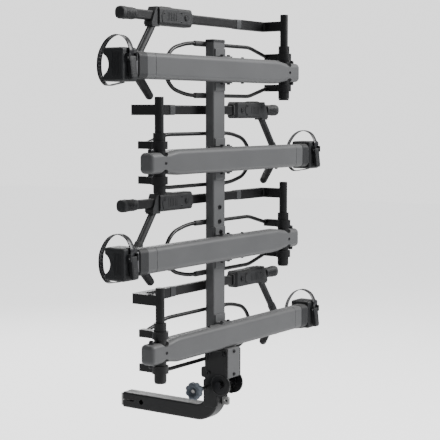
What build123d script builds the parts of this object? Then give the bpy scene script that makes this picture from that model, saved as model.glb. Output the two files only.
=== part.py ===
from build123d import *
import math
import os

# Hitch mounted four-bike platform rack, folded up against the vehicle.
# +X points to the vehicle's right, +Y towards the vehicle, +Z up. Millimetres.
# The origin is the centre of the hitch pin's bore in the tongue.
# Each tray is drawn about its beam's centre with the arm's hinge at +X; every second
# tray is its mirror image in X.

# ---------------------------------------------------------------- driving dimensions
TONGUE_SIZE = 50.8            # two inch square shank
TONGUE_WALL = 4.8
TONGUE_CORNER = 6.0
TONGUE_TIP_Y = 75.0           # inner end, past the pin
TONGUE_BEND_R = 57.0
RISER_Y = -277.0              # centre line of the tongue's upright end
RISER_TOP_Z = 96.0
HITCH_PIN_R = 8.2

SPINE_WIDTH = 64.0
SPINE_DEPTH = 32.0
SPINE_WALL = 3.0
SPINE_CORNER = 6.0
SPINE_BOTTOM_Z = 150.0
SPINE_JOINT_Z = 585.0
SPINE_TOP_Z = 1150.0
TAB_THICK = 4.0                # angle tabs between the spine and each beam
TAB_DEPTH = 30.0
TAB_WEB = 26.0
TAB_SCREW_X = 17.0
JOINER_REACH = 80.0

TRAY_COUNT = 4
FIRST_TRAY_Z = 251.0
TRAY_PITCH = 272.0

BEAM_DEPTH = 48.0
BEAM_HEIGHT = 74.0
BEAM_CORNER = 14.0
BEAM_WALL = 3.0
BEAM_MOUTH_X = -418.0
BEAM_END_X = 400.0
BEAM_HOLLOW_END_X = 268.0
NECK_START_X = 262.0
NECK_END_X = 325.0
NECK_HEIGHT = 60.0
BAND_GROOVE_X = -378.0
STOP_X = 379.0                # tall headed stop screws at the necked end
STOP_V = -2.0
STOP_R = 7.5
STOP_HEIGHT = 10.0

COLLAR_LENGTH = 37.0
SLIDE_GAP = 0.4

HINGE_X = 335.0
SLEEVE_R = 18.0
SLEEVE_HALF = 85.0
SHAFT_R = 13.0
SHAFT_TOP = 187.0
SHAFT_BOTTOM = -90.0
RUNNING_GAP = 0.06

HOOP_WIRE_R = 6.0
HOOP_V = 62.8                 # hoop plane, in front of the beam's centre
HOOP_HALF = 78.0

ARM_V = 81.0                  # arm plane, in front of the beam's centre
ARM_W = 150.0                 # arm height above the beam's centre
ARM_BAR_HEIGHT = 28.0
ARM_BAR_DEPTH = 20.0
ARM_SOCKET_X = 190.0
ARM_BAR_END_X = -400.0
GRIP_INNER_X = -346.0
GRIP_OUTER_X = -412.0
GRIP_R = 18.5

HEAD_LENGTH = 165.0
HEAD_HEIGHT = 53.0
HEAD_DEPTH = 40.0
HEAD_NOSE = 30.0              # sloping nose at the outer end, which carries the hook
HEAD_CENTRES = [-232.0, -168.0, -232.0, -168.0]   # rest place on the arm, tray by tray
BUTTON_R = 6.5
BUTTON_X = 48.0
BUTTON_PROUD = 2.5
BUTTON_TRAVEL = 3.0
HOOK_R = 11.0
HOOK_ROOT_X = -80.0
HOOK_APEX_X = -187.0
HOOK_TIP = (-108.0, -81.0)

EXT_WALL = 3.0
EXT_OUTER_X = -462.0
EXT_INNER_X = 262.0

CRADLE_END_X = -528.0
CRADLE_HALF_HEIGHT = 46.0
CRADLE_REAR = -24.0
CRADLE_FRONT = 46.0
TYRE_TROUGH_R = 32.0
STRAP_WIDTH = 20.0
STRAP_THICK = 2.6
STRAP_X = -495.0
BUCKLE_PIVOT = (-31.0, 18.0)
BUCKLE_PIN_R = 3.0

PIVOT_Y = -318.0
PIVOT_Z = 100.0
PIVOT_R = 8.0
EAR_THICK = 6.0
CHEEK_THICK = 5.0
LATCH_RADIUS = 30.0
LATCH_ANGLES = [-80.0, 10.0, 35.0]     # stowed, level and tilted away
LATCH_R = 5.0
LEVER_PIVOT_Z = 118.0
LEVER_PIVOT_X = 52.0

KNOB_X = -78.0
KNOB_Y = -260.0
KNOB_Z = 84.0
KNOB_R = 28.0
KNOB_THICK = 26.0
KNOB_LOBES = 8
KNOB_STUD_R = 6.0

WEDGE_TRAVEL = 6.0
DRAW_ROD_R = 4.0
DRAW_ROD_Z = 12.8             # above the hitch pin, which crosses the tongue at mid-height

# ---------------------------------------------------------------- worked out sizes
SPINE_Y = RISER_Y + 1.0
SPINE_REAR_Y = SPINE_Y - SPINE_DEPTH / 2
BEAM_Y = SPINE_REAR_Y - BEAM_DEPTH / 2
EXT_DEPTH = BEAM_DEPTH - 2 * (BEAM_WALL + SLIDE_GAP)
EXT_HEIGHT = BEAM_HEIGHT - 2 * (BEAM_WALL + SLIDE_GAP)
EXT_CORNER = BEAM_CORNER - BEAM_WALL - SLIDE_GAP
EAR_FACE = TONGUE_SIZE / 2 + EAR_THICK
LATCH_Y = PIVOT_Y + LATCH_RADIUS * math.cos(math.radians(LATCH_ANGLES[0]))
LATCH_Z = PIVOT_Z + LATCH_RADIUS * math.sin(math.radians(LATCH_ANGLES[0]))

os.makedirs("parts", exist_ok=True)


# ---------------------------------------------------------------- helpers
def rod_x(radius, start, end, y=0.0, z=0.0):
    return Pos((start + end) / 2, y, z) * Rot(0, 90, 0) * Cylinder(radius, end - start)


def rod_y(radius, start, end, x=0.0, z=0.0):
    return Pos(x, (start + end) / 2, z) * Rot(90, 0, 0) * Cylinder(radius, end - start)


def rod_z(radius, start, end, x=0.0, y=0.0):
    return Pos(x, y, (start + end) / 2) * Cylinder(radius, end - start)


def block(x0, x1, y0, y1, z0, z1):
    centre = Pos((x0 + x1) / 2, (y0 + y1) / 2, (z0 + z1) / 2)
    return centre * Box(x1 - x0, y1 - y0, z1 - z0)


def soft_block(x0, x1, y0, y1, z0, z1, radius):
    solid = block(x0, x1, y0, y1, z0, z1)
    return fillet(solid.edges(), radius)


def bar_x(depth, height, radius, start, end):
    section = Plane.YZ * RectangleRounded(depth, height, radius)
    return Pos(start, 0, 0) * extrude(section, end - start)


def bar_z(width, depth, radius, start, end):
    return Pos(0, 0, start) * extrude(RectangleRounded(width, depth, radius), end - start)


def plate_yz(outline, x0, x1):
    return Pos(x0, 0, 0) * extrude(Plane.YZ * outline, x1 - x0)


def wire(points, radii, radius, plane):
    path = plane * FilletPolyline(*points, radius=radii)
    section = Plane(origin=path @ 0, z_dir=path % 0) * Circle(radius)
    return sweep(section, path=path)


def tray_centre_z(tray):
    return FIRST_TRAY_Z + TRAY_PITCH * tray


def on_tray(shape, tray):
    """Put a shape drawn about a beam's centre on its tray, mirrored on the odd ones."""
    if tray % 2 == 0:
        shape = mirror(shape, about=Plane.YZ)
    return Pos(0, BEAM_Y, tray_centre_z(tray)) * shape


def save(name, *shapes):
    solids = []
    for shape in shapes:
        solids.extend(shape.solids())
    whole = solids[0] if len(solids) == 1 else Compound(solids)
    export_step(whole, os.path.join("parts", name + ".step"))


# ---------------------------------------------------------------- tongue and its drive
def tongue():
    half = TONGUE_SIZE / 2
    bend_y = RISER_Y + TONGUE_BEND_R
    path = Plane.YZ * FilletPolyline(
        (TONGUE_TIP_Y, 0), (RISER_Y, 0), (RISER_Y, RISER_TOP_Z), radius=TONGUE_BEND_R)
    start = Plane(origin=(0, TONGUE_TIP_Y, 0), x_dir=(1, 0, 0), z_dir=(0, -1, 0))
    outer = sweep(start * RectangleRounded(TONGUE_SIZE, TONGUE_SIZE, TONGUE_CORNER), path=path)
    bore_size = TONGUE_SIZE - 2 * TONGUE_WALL
    inner = sweep(start * RectangleRounded(bore_size, bore_size, 2.0), path=path)
    shell = outer - inner
    shell -= rod_x(HITCH_PIN_R, -half - 1, half + 1)
    shell -= rod_x(KNOB_STUD_R + RUNNING_GAP, -half - 1, 0, KNOB_Y, KNOB_Z)
    slit = 2.0
    slit_end = TONGUE_TIP_Y - 45
    for x0, x1, z0, z1 in ((-half, half, -slit / 2, slit / 2), (-slit / 2, slit / 2, -half, half)):
        shell -= block(x0 - 1, x1 + 1, slit_end, TONGUE_TIP_Y + 1, z0 - 1, z1 + 1)
    guide = block(-bore_size / 2, bore_size / 2, bend_y + 6, bend_y + 16, -bore_size / 2, bore_size / 2)
    guide -= rod_y(DRAW_ROD_R + RUNNING_GAP, bend_y, bend_y + 20, 0, DRAW_ROD_Z)
    return shell + guide


def expander_wedge():
    """Tapered plug that is drawn into the slit end of the tongue and spreads it."""
    mouth = TONGUE_SIZE - 2 * TONGUE_WALL
    thin = mouth - 4.0
    thick = mouth - 0.4
    nose_y = TONGUE_TIP_Y - 22
    root_y = TONGUE_TIP_Y + WEDGE_TRAVEL + 0.5
    facing = {"x_dir": (1, 0, 0), "z_dir": (0, 1, 0)}
    small = Plane(origin=(0, nose_y, 0), **facing) * RectangleRounded(thin, thin, 2.0)
    large = Plane(origin=(0, root_y, 0), **facing) * RectangleRounded(thick, thick, 2.0)
    plug = loft([small, large])
    plug += block(-thick / 2, thick / 2, root_y, root_y + 4, -thick / 2, thick / 2)
    return plug - rod_y(DRAW_ROD_R + 0.05, nose_y - 1, root_y + 5, 0, DRAW_ROD_Z)


def draw_rod():
    nut_y = TONGUE_TIP_Y + WEDGE_TRAVEL + 4.5
    rod = rod_y(DRAW_ROD_R, RISER_Y + TONGUE_BEND_R - 12, nut_y + 8, 0, DRAW_ROD_Z)
    head = Pos(0, nut_y, DRAW_ROD_Z) * extrude(Plane.XZ * RegularPolygon(7.2, 6), -6)
    return rod + head


def tightening_knob():
    rim = rod_x(KNOB_R, KNOB_X - KNOB_THICK, KNOB_X, KNOB_Y, KNOB_Z)
    rim = fillet(rim.edges(), 4.0)
    for lobe in range(KNOB_LOBES):
        angle = 2 * math.pi * lobe / KNOB_LOBES
        scallop_y = KNOB_Y + (KNOB_R + 5) * math.cos(angle)
        scallop_z = KNOB_Z + (KNOB_R + 5) * math.sin(angle)
        rim -= rod_x(8.0, KNOB_X - KNOB_THICK - 1, KNOB_X + 1, scallop_y, scallop_z)
    hub = rod_x(11.0, KNOB_X, KNOB_X + 22, KNOB_Y, KNOB_Z)
    stud = rod_x(KNOB_STUD_R, KNOB_X + 22, -8, KNOB_Y, KNOB_Z)
    return rim + hub + stud


def latch_hole_centres():
    places = []
    for angle in LATCH_ANGLES:
        turn = math.radians(angle)
        places.append((PIVOT_Y + LATCH_RADIUS * math.cos(turn), PIVOT_Z + LATCH_RADIUS * math.sin(turn)))
    return places


def pivot_ears():
    """Two plates welded to the tongue's upright end: pivot, index holes, lock eye."""
    sector_r = LATCH_RADIUS + LATCH_R + 3
    first = LATCH_ANGLES[0] - 15
    last = LATCH_ANGLES[-1] + 15
    rim = [(0.0, 0.0)]
    for step in range(13):
        turn = math.radians(first + (last - first) * step / 12)
        rim.append((sector_r * math.cos(turn), sector_r * math.sin(turn)))
    sector = Pos(PIVOT_Y, PIVOT_Z) * make_face(Polyline(*rim, close=True))
    boss = Pos(PIVOT_Y, PIVOT_Z) * Circle(18)
    weld_pad = Pos(RISER_Y, 68) * RectangleRounded(TONGUE_SIZE - 2, 88, 8)
    outline = sector + boss + weld_pad
    ears = []
    for side in (-1, 1):
        inner = side * TONGUE_SIZE / 2
        outer = side * EAR_FACE
        ear = plate_yz(outline, min(inner, outer), max(inner, outer))
        ear -= rod_x(PIVOT_R + RUNNING_GAP, -60, 60, PIVOT_Y, PIVOT_Z)
        for hole_y, hole_z in latch_hole_centres():
            ear -= rod_x(LATCH_R + 0.3, -60, 60, hole_y, hole_z)
        if side < 0:
            ear -= rod_x(KNOB_STUD_R + RUNNING_GAP, -60, 0, KNOB_Y, KNOB_Z)
        ears.append(ear)
    eye_outline = Pos(RISER_Y - 37, 44) * RectangleRounded(30, 26, 7)
    eye_outline -= Pos(RISER_Y - 41, 44) * SlotOverall(14, 8)
    eye = plate_yz(eye_outline, -3, 3)
    eye -= block(-4, 4, RISER_Y - TONGUE_SIZE / 2, RISER_Y + TONGUE_SIZE / 2, 20, 70)
    return ears + [eye]


# ---------------------------------------------------------------- spine and fold joint
def beam_tabs(trays):
    """Welded angle tabs that hold each beam by its upper and lower faces."""
    tabs = []
    for tray in trays:
        for side in (-1, 1):
            face_z = tray_centre_z(tray) + side * BEAM_HEIGHT / 2
            shelf_z = sorted((face_z, face_z + side * TAB_THICK))
            web_z = sorted((face_z, face_z + side * TAB_WEB))
            if tray == 0 and side < 0:
                continue
            shelf = block(-26, 26, SPINE_REAR_Y - TAB_DEPTH, SPINE_REAR_Y, *shelf_z)
            web = block(-26, 26, SPINE_REAR_Y - TAB_THICK, SPINE_REAR_Y, *web_z)
            for screw_x in (-TAB_SCREW_X, TAB_SCREW_X):
                shelf -= rod_z(3.1, shelf_z[0] - 1, shelf_z[1] + 1, screw_x, BEAM_Y + 3)
            tabs.append(shelf + web)
    return tabs


def spine_tube(start, end):
    outer = bar_z(SPINE_WIDTH, SPINE_DEPTH, SPINE_CORNER, start, end)
    inner = bar_z(SPINE_WIDTH - 2 * SPINE_WALL, SPINE_DEPTH - 2 * SPINE_WALL,
                  SPINE_CORNER - SPINE_WALL, start - 1, end + 1)
    return Pos(0, SPINE_Y, 0) * (outer - inner)


def spine_main():
    tube = spine_tube(SPINE_BOTTOM_Z, SPINE_JOINT_Z)
    for tab in beam_tabs([0, 1]):
        tube += tab
    return tube - joint_bolt_holes()


def spine_extension():
    tube = spine_tube(SPINE_JOINT_Z + 0.5, SPINE_TOP_Z)
    for tab in beam_tabs([2, 3]):
        tube += tab
    return tube - joint_bolt_holes()


def spine_joiner():
    width = SPINE_WIDTH - 2 * SPINE_WALL - 0.6
    depth = SPINE_DEPTH - 2 * SPINE_WALL - 0.6
    solid = bar_z(width, depth, 2.5, SPINE_JOINT_Z - JOINER_REACH, SPINE_JOINT_Z + JOINER_REACH)
    solid -= bar_z(width - 8, depth - 8, 1.0, SPINE_JOINT_Z - 200, SPINE_JOINT_Z + 200)
    return Pos(0, SPINE_Y, 0) * solid - joint_bolt_holes()


def joint_bolts():
    """(height, what the head stands on) of the bolts through the spine's joint."""
    return [(SPINE_JOINT_Z - 14, TAB_THICK), (SPINE_JOINT_Z + 18, 0.0), (SPINE_JOINT_Z + 62, 0.0)]


def joint_bolt_holes():
    holes = Part()
    for height, _ in joint_bolts():
        holes += rod_y(4.1, SPINE_REAR_Y - 20, SPINE_REAR_Y + 60, 0, height)
    return holes


def pivot_cheeks():
    """Plates on the spine's sides that carry the fold pivot, the latch pin and the lever."""
    tall = Pos((PIVOT_Y - 28 + SPINE_Y + 14) / 2, 156) * RectangleRounded(84, 112, 8)
    lobe = Pos(PIVOT_Y, PIVOT_Z) * Circle(37)
    toe = Pos(-274, 134) * RectangleRounded(52, 34, 8)
    outline = tall + lobe + toe
    cheeks = []
    for side in (-1, 1):
        inner = side * SPINE_WIDTH / 2
        outer = side * (SPINE_WIDTH / 2 + CHEEK_THICK)
        cheek = plate_yz(outline, min(inner, outer), max(inner, outer))
        cheek -= rod_x(PIVOT_R + 0.05, -60, 60, PIVOT_Y, PIVOT_Z)
        if side > 0:
            cheek -= rod_x(LATCH_R + RUNNING_GAP, 0, 60, LATCH_Y, LATCH_Z)
            for lug_side in (-1, 1):
                lug_y = LATCH_Y + lug_side * 10
                lug = block(outer, LEVER_PIVOT_X + 6, lug_y - 2.5, lug_y + 2.5,
                            LEVER_PIVOT_Z - 6, LEVER_PIVOT_Z + 6)
                cheek += lug
            cheek -= rod_y(2.5, LATCH_Y - 20, LATCH_Y + 20, LEVER_PIVOT_X, LEVER_PIVOT_Z)
        cheeks.append(cheek)
    return cheeks


def latch_housing():
    half = SPINE_WIDTH / 2 - 0.3
    rear = PIVOT_Y - 28
    top = FIRST_TRAY_Z - BEAM_HEIGHT / 2 - 0.5
    shell = block(-half, half, rear, SPINE_REAR_Y - 0.5, 152, top)
    shell -= block(-half + 4, half - 4, rear + 5, SPINE_REAR_Y - 4.5, 140, top - 4)
    lip = block(-half, half, rear, rear + 5, 121, 160)
    return fillet((shell + lip).edges().filter_by(Axis.X).group_by(Axis.Y)[0], 2.0)


def pivot_bolt():
    reach = SPINE_WIDTH / 2 + CHEEK_THICK
    shank = rod_x(PIVOT_R, -reach - 1, reach + 1, PIVOT_Y, PIVOT_Z)
    washer = rod_x(14, -reach - 3, -reach, PIVOT_Y, PIVOT_Z)
    head = plate_yz(Pos(PIVOT_Y, PIVOT_Z) * RegularPolygon(12, 6), -reach - 12, -reach - 3)
    cap = rod_x(11.5, reach, reach + 4, PIVOT_Y, PIVOT_Z)
    return shank + washer + head + cap


def latch_pin():
    """The tip stops just short of the index plate, so that the fold can turn past it."""
    pin = rod_x(LATCH_R, EAR_FACE + 0.3, 62, LATCH_Y, LATCH_Z)
    for flange_x in (46.0, 58.0):
        pin += rod_x(8.0, flange_x, flange_x + 3, LATCH_Y, LATCH_Z)
    return pin


def tilt_lever():
    arm = block(50.5, 56.5, LATCH_Y - 7, LATCH_Y + 7, LATCH_Z - 9, LEVER_PIVOT_Z + 10)
    arm -= rod_x(LATCH_R + 1.2, 45, 62, LATCH_Y, LATCH_Z)
    arm -= block(45, 62, LATCH_Y - LATCH_R - 1.2, LATCH_Y + LATCH_R + 1.2, LATCH_Z - 20, LATCH_Z)
    handle_outline = [(49, LEVER_PIVOT_Z + 4), (58, LEVER_PIVOT_Z), (74, 172), (70, 184), (62, 182)]
    handle = extrude(Plane.XZ * make_face(Polyline(*handle_outline, close=True)), 7, both=True)
    lever = arm + Pos(0, LATCH_Y, 0) * handle
    pin = rod_y(2.45, LATCH_Y - 14, LATCH_Y + 14, LEVER_PIVOT_X, LEVER_PIVOT_Z)
    return lever + pin


# ---------------------------------------------------------------- tray pieces
def neck_height(x):
    """Beam height along the necked hinge end: an easy S between two flats."""
    share = min(max((x - NECK_START_X) / (NECK_END_X - NECK_START_X), 0.0), 1.0)
    ease = (1 - math.cos(math.pi * share)) / 2
    return BEAM_HEIGHT + (NECK_HEIGHT - BEAM_HEIGHT) * ease


def beam():
    outer = bar_x(BEAM_DEPTH, BEAM_HEIGHT, BEAM_CORNER, BEAM_MOUTH_X, NECK_START_X)
    stations = 7
    sections = []
    for station in range(stations):
        x = NECK_START_X + (NECK_END_X - NECK_START_X) * station / (stations - 1)
        outline = RectangleRounded(BEAM_DEPTH, neck_height(x), BEAM_CORNER)
        sections.append(Pos(x, 0, 0) * (Plane.YZ * outline))
    outer += loft(sections)
    tail = bar_x(BEAM_DEPTH, NECK_HEIGHT, BEAM_CORNER, NECK_END_X, BEAM_END_X)
    end_edges = tail.faces().sort_by(Axis.X)[-1].edges()
    outer += fillet(end_edges, 13.0)
    solid = outer - bar_x(BEAM_DEPTH - 2 * BEAM_WALL, BEAM_HEIGHT - 2 * BEAM_WALL,
                          BEAM_CORNER - BEAM_WALL, BEAM_MOUTH_X - 1, BEAM_HOLLOW_END_X)
    solid -= rod_z(SLEEVE_R, -60, 60, HINGE_X)
    for side in (-1, 1):
        solid -= rod_y(17.0, -BEAM_DEPTH, 0, HINGE_X, side * (NECK_HEIGHT / 2 + 5))
    band = bar_x(BEAM_DEPTH + 2, BEAM_HEIGHT + 2, BEAM_CORNER, BAND_GROOVE_X - 1, BAND_GROOVE_X + 1)
    core = bar_x(BEAM_DEPTH - 1.6, BEAM_HEIGHT - 1.6, BEAM_CORNER - 0.8,
                 BAND_GROOVE_X - 1, BAND_GROOVE_X + 1)
    solid -= band - core
    for screw in beam_screw_shanks(3.1, 0.0):
        solid -= screw
    return solid


def beam_screw_places():
    """(x, side) of the small screws in the beam's upper and lower faces."""
    return [(90.0, 1), (90.0, -1), (-290.0, -1)]


def beam_screw_shanks(radius, head_height):
    """Screw shanks of one tray; with a head height above zero, whole screws."""
    screws = []
    top = BEAM_HEIGHT / 2
    for x, side in beam_screw_places():
        reach = sorted((side * (top - BEAM_WALL), side * top))
        screw = rod_z(radius, reach[0], reach[1], x)
        if head_height > 0:
            cap = sorted((side * top, side * (top + head_height)))
            screw += rod_z(5.0, cap[0], cap[1], x)
        screws.append(screw)
    neck_top = NECK_HEIGHT / 2
    for side in (-1, 1):
        reach = sorted((side * (neck_top - 8), side * neck_top))
        screw = rod_z(radius, reach[0], reach[1], STOP_X, STOP_V)
        if head_height > 0:
            cap = sorted((side * neck_top, side * (neck_top + STOP_HEIGHT)))
            screw += rod_z(STOP_R, cap[0], cap[1], STOP_X, STOP_V)
        screws.append(screw)
    face = -BEAM_DEPTH / 2
    clamp = rod_y(radius, face, face + 5.5, HINGE_X)
    if head_height > 0:
        clamp += rod_y(5.0, face - 1.5, face, HINGE_X)
    screws.append(clamp)
    return screws


def beam_collar():
    ring = bar_x(BEAM_DEPTH + 2, BEAM_HEIGHT + 2, BEAM_CORNER + 1,
                 BEAM_MOUTH_X - COLLAR_LENGTH, BEAM_MOUTH_X)
    outer_edges = ring.faces().sort_by(Axis.X)[0].edges()
    ring = fillet(outer_edges, 3.0)
    return ring - bar_x(EXT_DEPTH + 2 * SLIDE_GAP, EXT_HEIGHT + 2 * SLIDE_GAP, EXT_CORNER + SLIDE_GAP,
                        BEAM_MOUTH_X - COLLAR_LENGTH - 1, BEAM_MOUTH_X + 1)


def hinge_sleeve():
    sleeve = rod_z(SLEEVE_R, -SLEEVE_HALF, SLEEVE_HALF, HINGE_X)
    return sleeve - rod_z(SHAFT_R + RUNNING_GAP, -SLEEVE_HALF - 1, SLEEVE_HALF + 1, HINGE_X)


def wheel_hoop():
    points = [(HINGE_X, 49), (222, HOOP_HALF), (-112, HOOP_HALF), (-196, 58), (-236, 0),
              (-196, -58), (-112, -HOOP_HALF), (222, -HOOP_HALF), (HINGE_X, -49)]
    radii = [150, 300, 80, 50, 80, 300, 150]
    loop = wire(points, radii, HOOP_WIRE_R, Plane.XZ.offset(-HOOP_V))
    for side in (-1, 1):
        low, high = sorted((side * 39, side * 61))
        clamp = rod_z(24.0, low, high, HINGE_X)
        clamp += block(HINGE_X - 11, HINGE_X + 11, 10, HOOP_V + HOOP_WIRE_R, low, high)
        clamp -= rod_z(SLEEVE_R + 0.05, low - 1, high + 1, HINGE_X)
        loop += clamp
    return loop


def arm():
    shaft = rod_z(SHAFT_R, SHAFT_BOTTOM, SHAFT_TOP, HINGE_X)
    shaft += rod_z(16.5, SHAFT_BOTTOM, -SLEEVE_HALF - 0.5, HINGE_X)
    shaft = fillet(shaft.edges().group_by(Axis.Z)[-1], 2.0)
    half = ARM_BAR_HEIGHT / 2
    rear = ARM_V - 12
    front = ARM_V + 12
    elbow = block(HINGE_X - 14, HINGE_X + 14, 0, front, ARM_W - half - 1, ARM_W + half + 1)
    elbow += block(ARM_SOCKET_X, HINGE_X + 14, rear, front, ARM_W - half - 1, ARM_W + half + 1)
    elbow = fillet(elbow.edges().filter_by(Axis.Z), 6.0)
    bar = bar_x(ARM_BAR_DEPTH, ARM_BAR_HEIGHT, 4.0, ARM_BAR_END_X, ARM_SOCKET_X)
    return shaft + elbow + Pos(0, ARM_V, ARM_W) * bar


def grip():
    body = rod_x(GRIP_R, GRIP_OUTER_X, GRIP_INNER_X)
    body = fillet(body.faces().sort_by(Axis.X)[0].edges(), 9.0)
    body = fillet(body.faces().sort_by(Axis.X)[-1].edges(), 4.0)
    socket = bar_x(ARM_BAR_DEPTH + 0.1, ARM_BAR_HEIGHT + 0.1, 4.0, ARM_BAR_END_X, GRIP_INNER_X + 1)
    return Pos(0, ARM_V, ARM_W) * (body - socket)


def bar_passage(start, end):
    gap = 0.6
    return Pos(0, ARM_V, ARM_W) * bar_x(ARM_BAR_DEPTH + gap, ARM_BAR_HEIGHT + gap, 4.0, start, end)


def ratchet_head(centre):
    half = HEAD_LENGTH / 2
    rear = ARM_V - HEAD_DEPTH / 2
    front = ARM_V + HEAD_DEPTH / 2
    low = ARM_W - HEAD_HEIGHT / 2
    high = ARM_W + HEAD_HEIGHT / 2
    head = block(-half, half, rear, front, low, high)
    head = fillet(head.edges().filter_by(Axis.X), 9.0)
    head = chamfer(head.faces().sort_by(Axis.X)[-1].edges(), 7.0)
    corners = [(-half, high), (-half - 8, high), (-half - HEAD_NOSE, low + 8),
               (-half - HEAD_NOSE, low), (-half, low)]
    nose = extrude(Plane.XZ * make_face(Polyline(*corners, close=True)), 15, both=True)
    head += Pos(0, ARM_V, 0) * nose
    head = Pos(centre, 0, 0) * head
    head -= bar_passage(centre - half - HEAD_NOSE - 1, centre + half + 1)
    return head - rod_y(BUTTON_R + 0.25, rear - 1, rear + 8.5, centre + BUTTON_X, ARM_W)


def release_button(centre):
    rear = ARM_V - HEAD_DEPTH / 2
    button = rod_y(BUTTON_R, rear - BUTTON_PROUD, rear + 8.5 - BUTTON_TRAVEL - 0.5,
                   centre + BUTTON_X, ARM_W)
    return fillet(button.faces().sort_by(Axis.Y)[0].edges(), 1.2)


def hook(centre):
    """A V of coated bar under the head's nose, with its point at tyre height."""
    seat_w = ARM_W - HEAD_HEIGHT / 2
    lean = (HOOK_APEX_X - HOOK_ROOT_X) / 140.0
    seat_x = HOOK_ROOT_X + lean * (140.0 - seat_w)
    points = [(HOOK_ROOT_X, 140), (HOOK_APEX_X, 0), HOOK_TIP]
    leg = wire(points, [30], HOOK_R, Plane.XZ.offset(-ARM_V))
    leg -= block(seat_x - 40, seat_x + 60, ARM_V - 20, ARM_V + 20, seat_w, seat_w + 40)
    leg += Pos(HOOK_TIP[0], ARM_V, HOOK_TIP[1]) * Sphere(HOOK_R)
    leg += block(seat_x - 17, seat_x + 17, ARM_V - 14, ARM_V + 14, seat_w - 5, seat_w)
    return Pos(centre, 0, 0) * leg


def ext_tube():
    outer = bar_x(EXT_DEPTH, EXT_HEIGHT, EXT_CORNER, EXT_OUTER_X, EXT_INNER_X)
    inner = bar_x(EXT_DEPTH - 2 * EXT_WALL, EXT_HEIGHT - 2 * EXT_WALL, EXT_CORNER - EXT_WALL,
                  EXT_OUTER_X - 1, EXT_INNER_X + 1)
    return outer - inner


def cradle():
    """Rear-wheel saddle on the end of the sliding tube, with the buckle's frame."""
    body = soft_block(CRADLE_END_X, EXT_OUTER_X, CRADLE_REAR, CRADLE_FRONT,
                      -CRADLE_HALF_HEIGHT, CRADLE_HALF_HEIGHT, 7.0)
    body -= rod_x(TYRE_TROUGH_R, CRADLE_END_X - 1, EXT_OUTER_X + 1, CRADLE_FRONT + 10, 0)
    plug_gap = 2 * EXT_WALL + 0.2
    body += bar_x(EXT_DEPTH - plug_gap, EXT_HEIGHT - plug_gap, EXT_CORNER - EXT_WALL,
                  EXT_OUTER_X - 8, EXT_OUTER_X + 24)
    pivot_v, pivot_w = BUCKLE_PIVOT
    for side in (-1, 1):
        wall_x = STRAP_X + side * 15.5
        body += block(wall_x - 2, wall_x + 2, pivot_v - 6, CRADLE_REAR + 3, pivot_w - 8, pivot_w + 12)
    return body - rod_x(BUCKLE_PIN_R + RUNNING_GAP, STRAP_X - 25, STRAP_X + 25, pivot_v, pivot_w)


def strap():
    route = [(-28.5, 24), (-28, 44), (-10, 72), (24, 81), (58, 64), (82, 24), (82, -24), (60, -54),
             (24, -52), (2, -48)]
    line = Spline(*route)
    band = extrude(Plane.YZ * trace(line, line_width=STRAP_THICK), STRAP_WIDTH / 2, both=True)
    return Pos(STRAP_X, 0, 0) * band


def buckle():
    pivot_v, pivot_w = BUCKLE_PIVOT
    outline = [(pivot_v - 4, pivot_w + 5), (pivot_v + 5, pivot_w + 4), (pivot_v + 5.5, pivot_w - 10),
               (pivot_v + 2, pivot_w - 54), (pivot_v - 7, pivot_w - 60), (pivot_v - 10, pivot_w - 54),
               (pivot_v - 5.5, pivot_w - 14)]
    lever = extrude(Plane.YZ * make_face(Polyline(*outline, close=True)), 12.5, both=True)
    lever = Pos(STRAP_X, 0, 0) * fillet(lever.edges().filter_by(Axis.X), 1.5)
    return lever + rod_x(BUCKLE_PIN_R, STRAP_X - 17.5, STRAP_X + 17.5, pivot_v, pivot_w)


# ---------------------------------------------------------------- groups on the rack's body
def plastic_caps():
    caps = [on_tray(beam_collar(), tray) for tray in range(TRAY_COUNT)]
    cap = bar_z(SPINE_WIDTH + 2, SPINE_DEPTH + 2, SPINE_CORNER + 1, SPINE_TOP_Z, SPINE_TOP_Z + 9)
    cap = fillet(cap.edges().group_by(Axis.Z)[-1], 3.0)
    cap += bar_z(SPINE_WIDTH - 2 * SPINE_WALL - 0.2, SPINE_DEPTH - 2 * SPINE_WALL - 0.2, 2.8,
                 SPINE_TOP_Z - 18, SPINE_TOP_Z)
    caps.append(Pos(0, SPINE_Y, 0) * cap)
    return caps


def screws():
    group = []
    for tray in range(TRAY_COUNT):
        for screw in beam_screw_shanks(3.0, 4.0):
            group.append(on_tray(screw, tray))
    for height, stand_off in joint_bolts():
        seat = SPINE_REAR_Y - stand_off
        bolt = rod_y(4.0, seat, SPINE_REAR_Y + SPINE_DEPTH, 0, height)
        bolt += rod_y(7.0, seat - 4, seat, 0, height)
        group.append(bolt)
    for tray in range(TRAY_COUNT):
        for side in (-1, 1):
            if tray == 0 and side < 0:
                continue
            face_z = tray_centre_z(tray) + side * (BEAM_HEIGHT / 2 + TAB_THICK)
            for screw_x in (-TAB_SCREW_X, TAB_SCREW_X):
                head = sorted((face_z, face_z + side * 4.5))
                shank = sorted((face_z - side * (TAB_THICK - 0.1), face_z))
                bolt = rod_z(5.5, head[0], head[1], screw_x, BEAM_Y + 3)
                bolt += rod_z(3.0, shank[0], shank[1], screw_x, BEAM_Y + 3)
                group.append(bolt)
    return group


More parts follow.
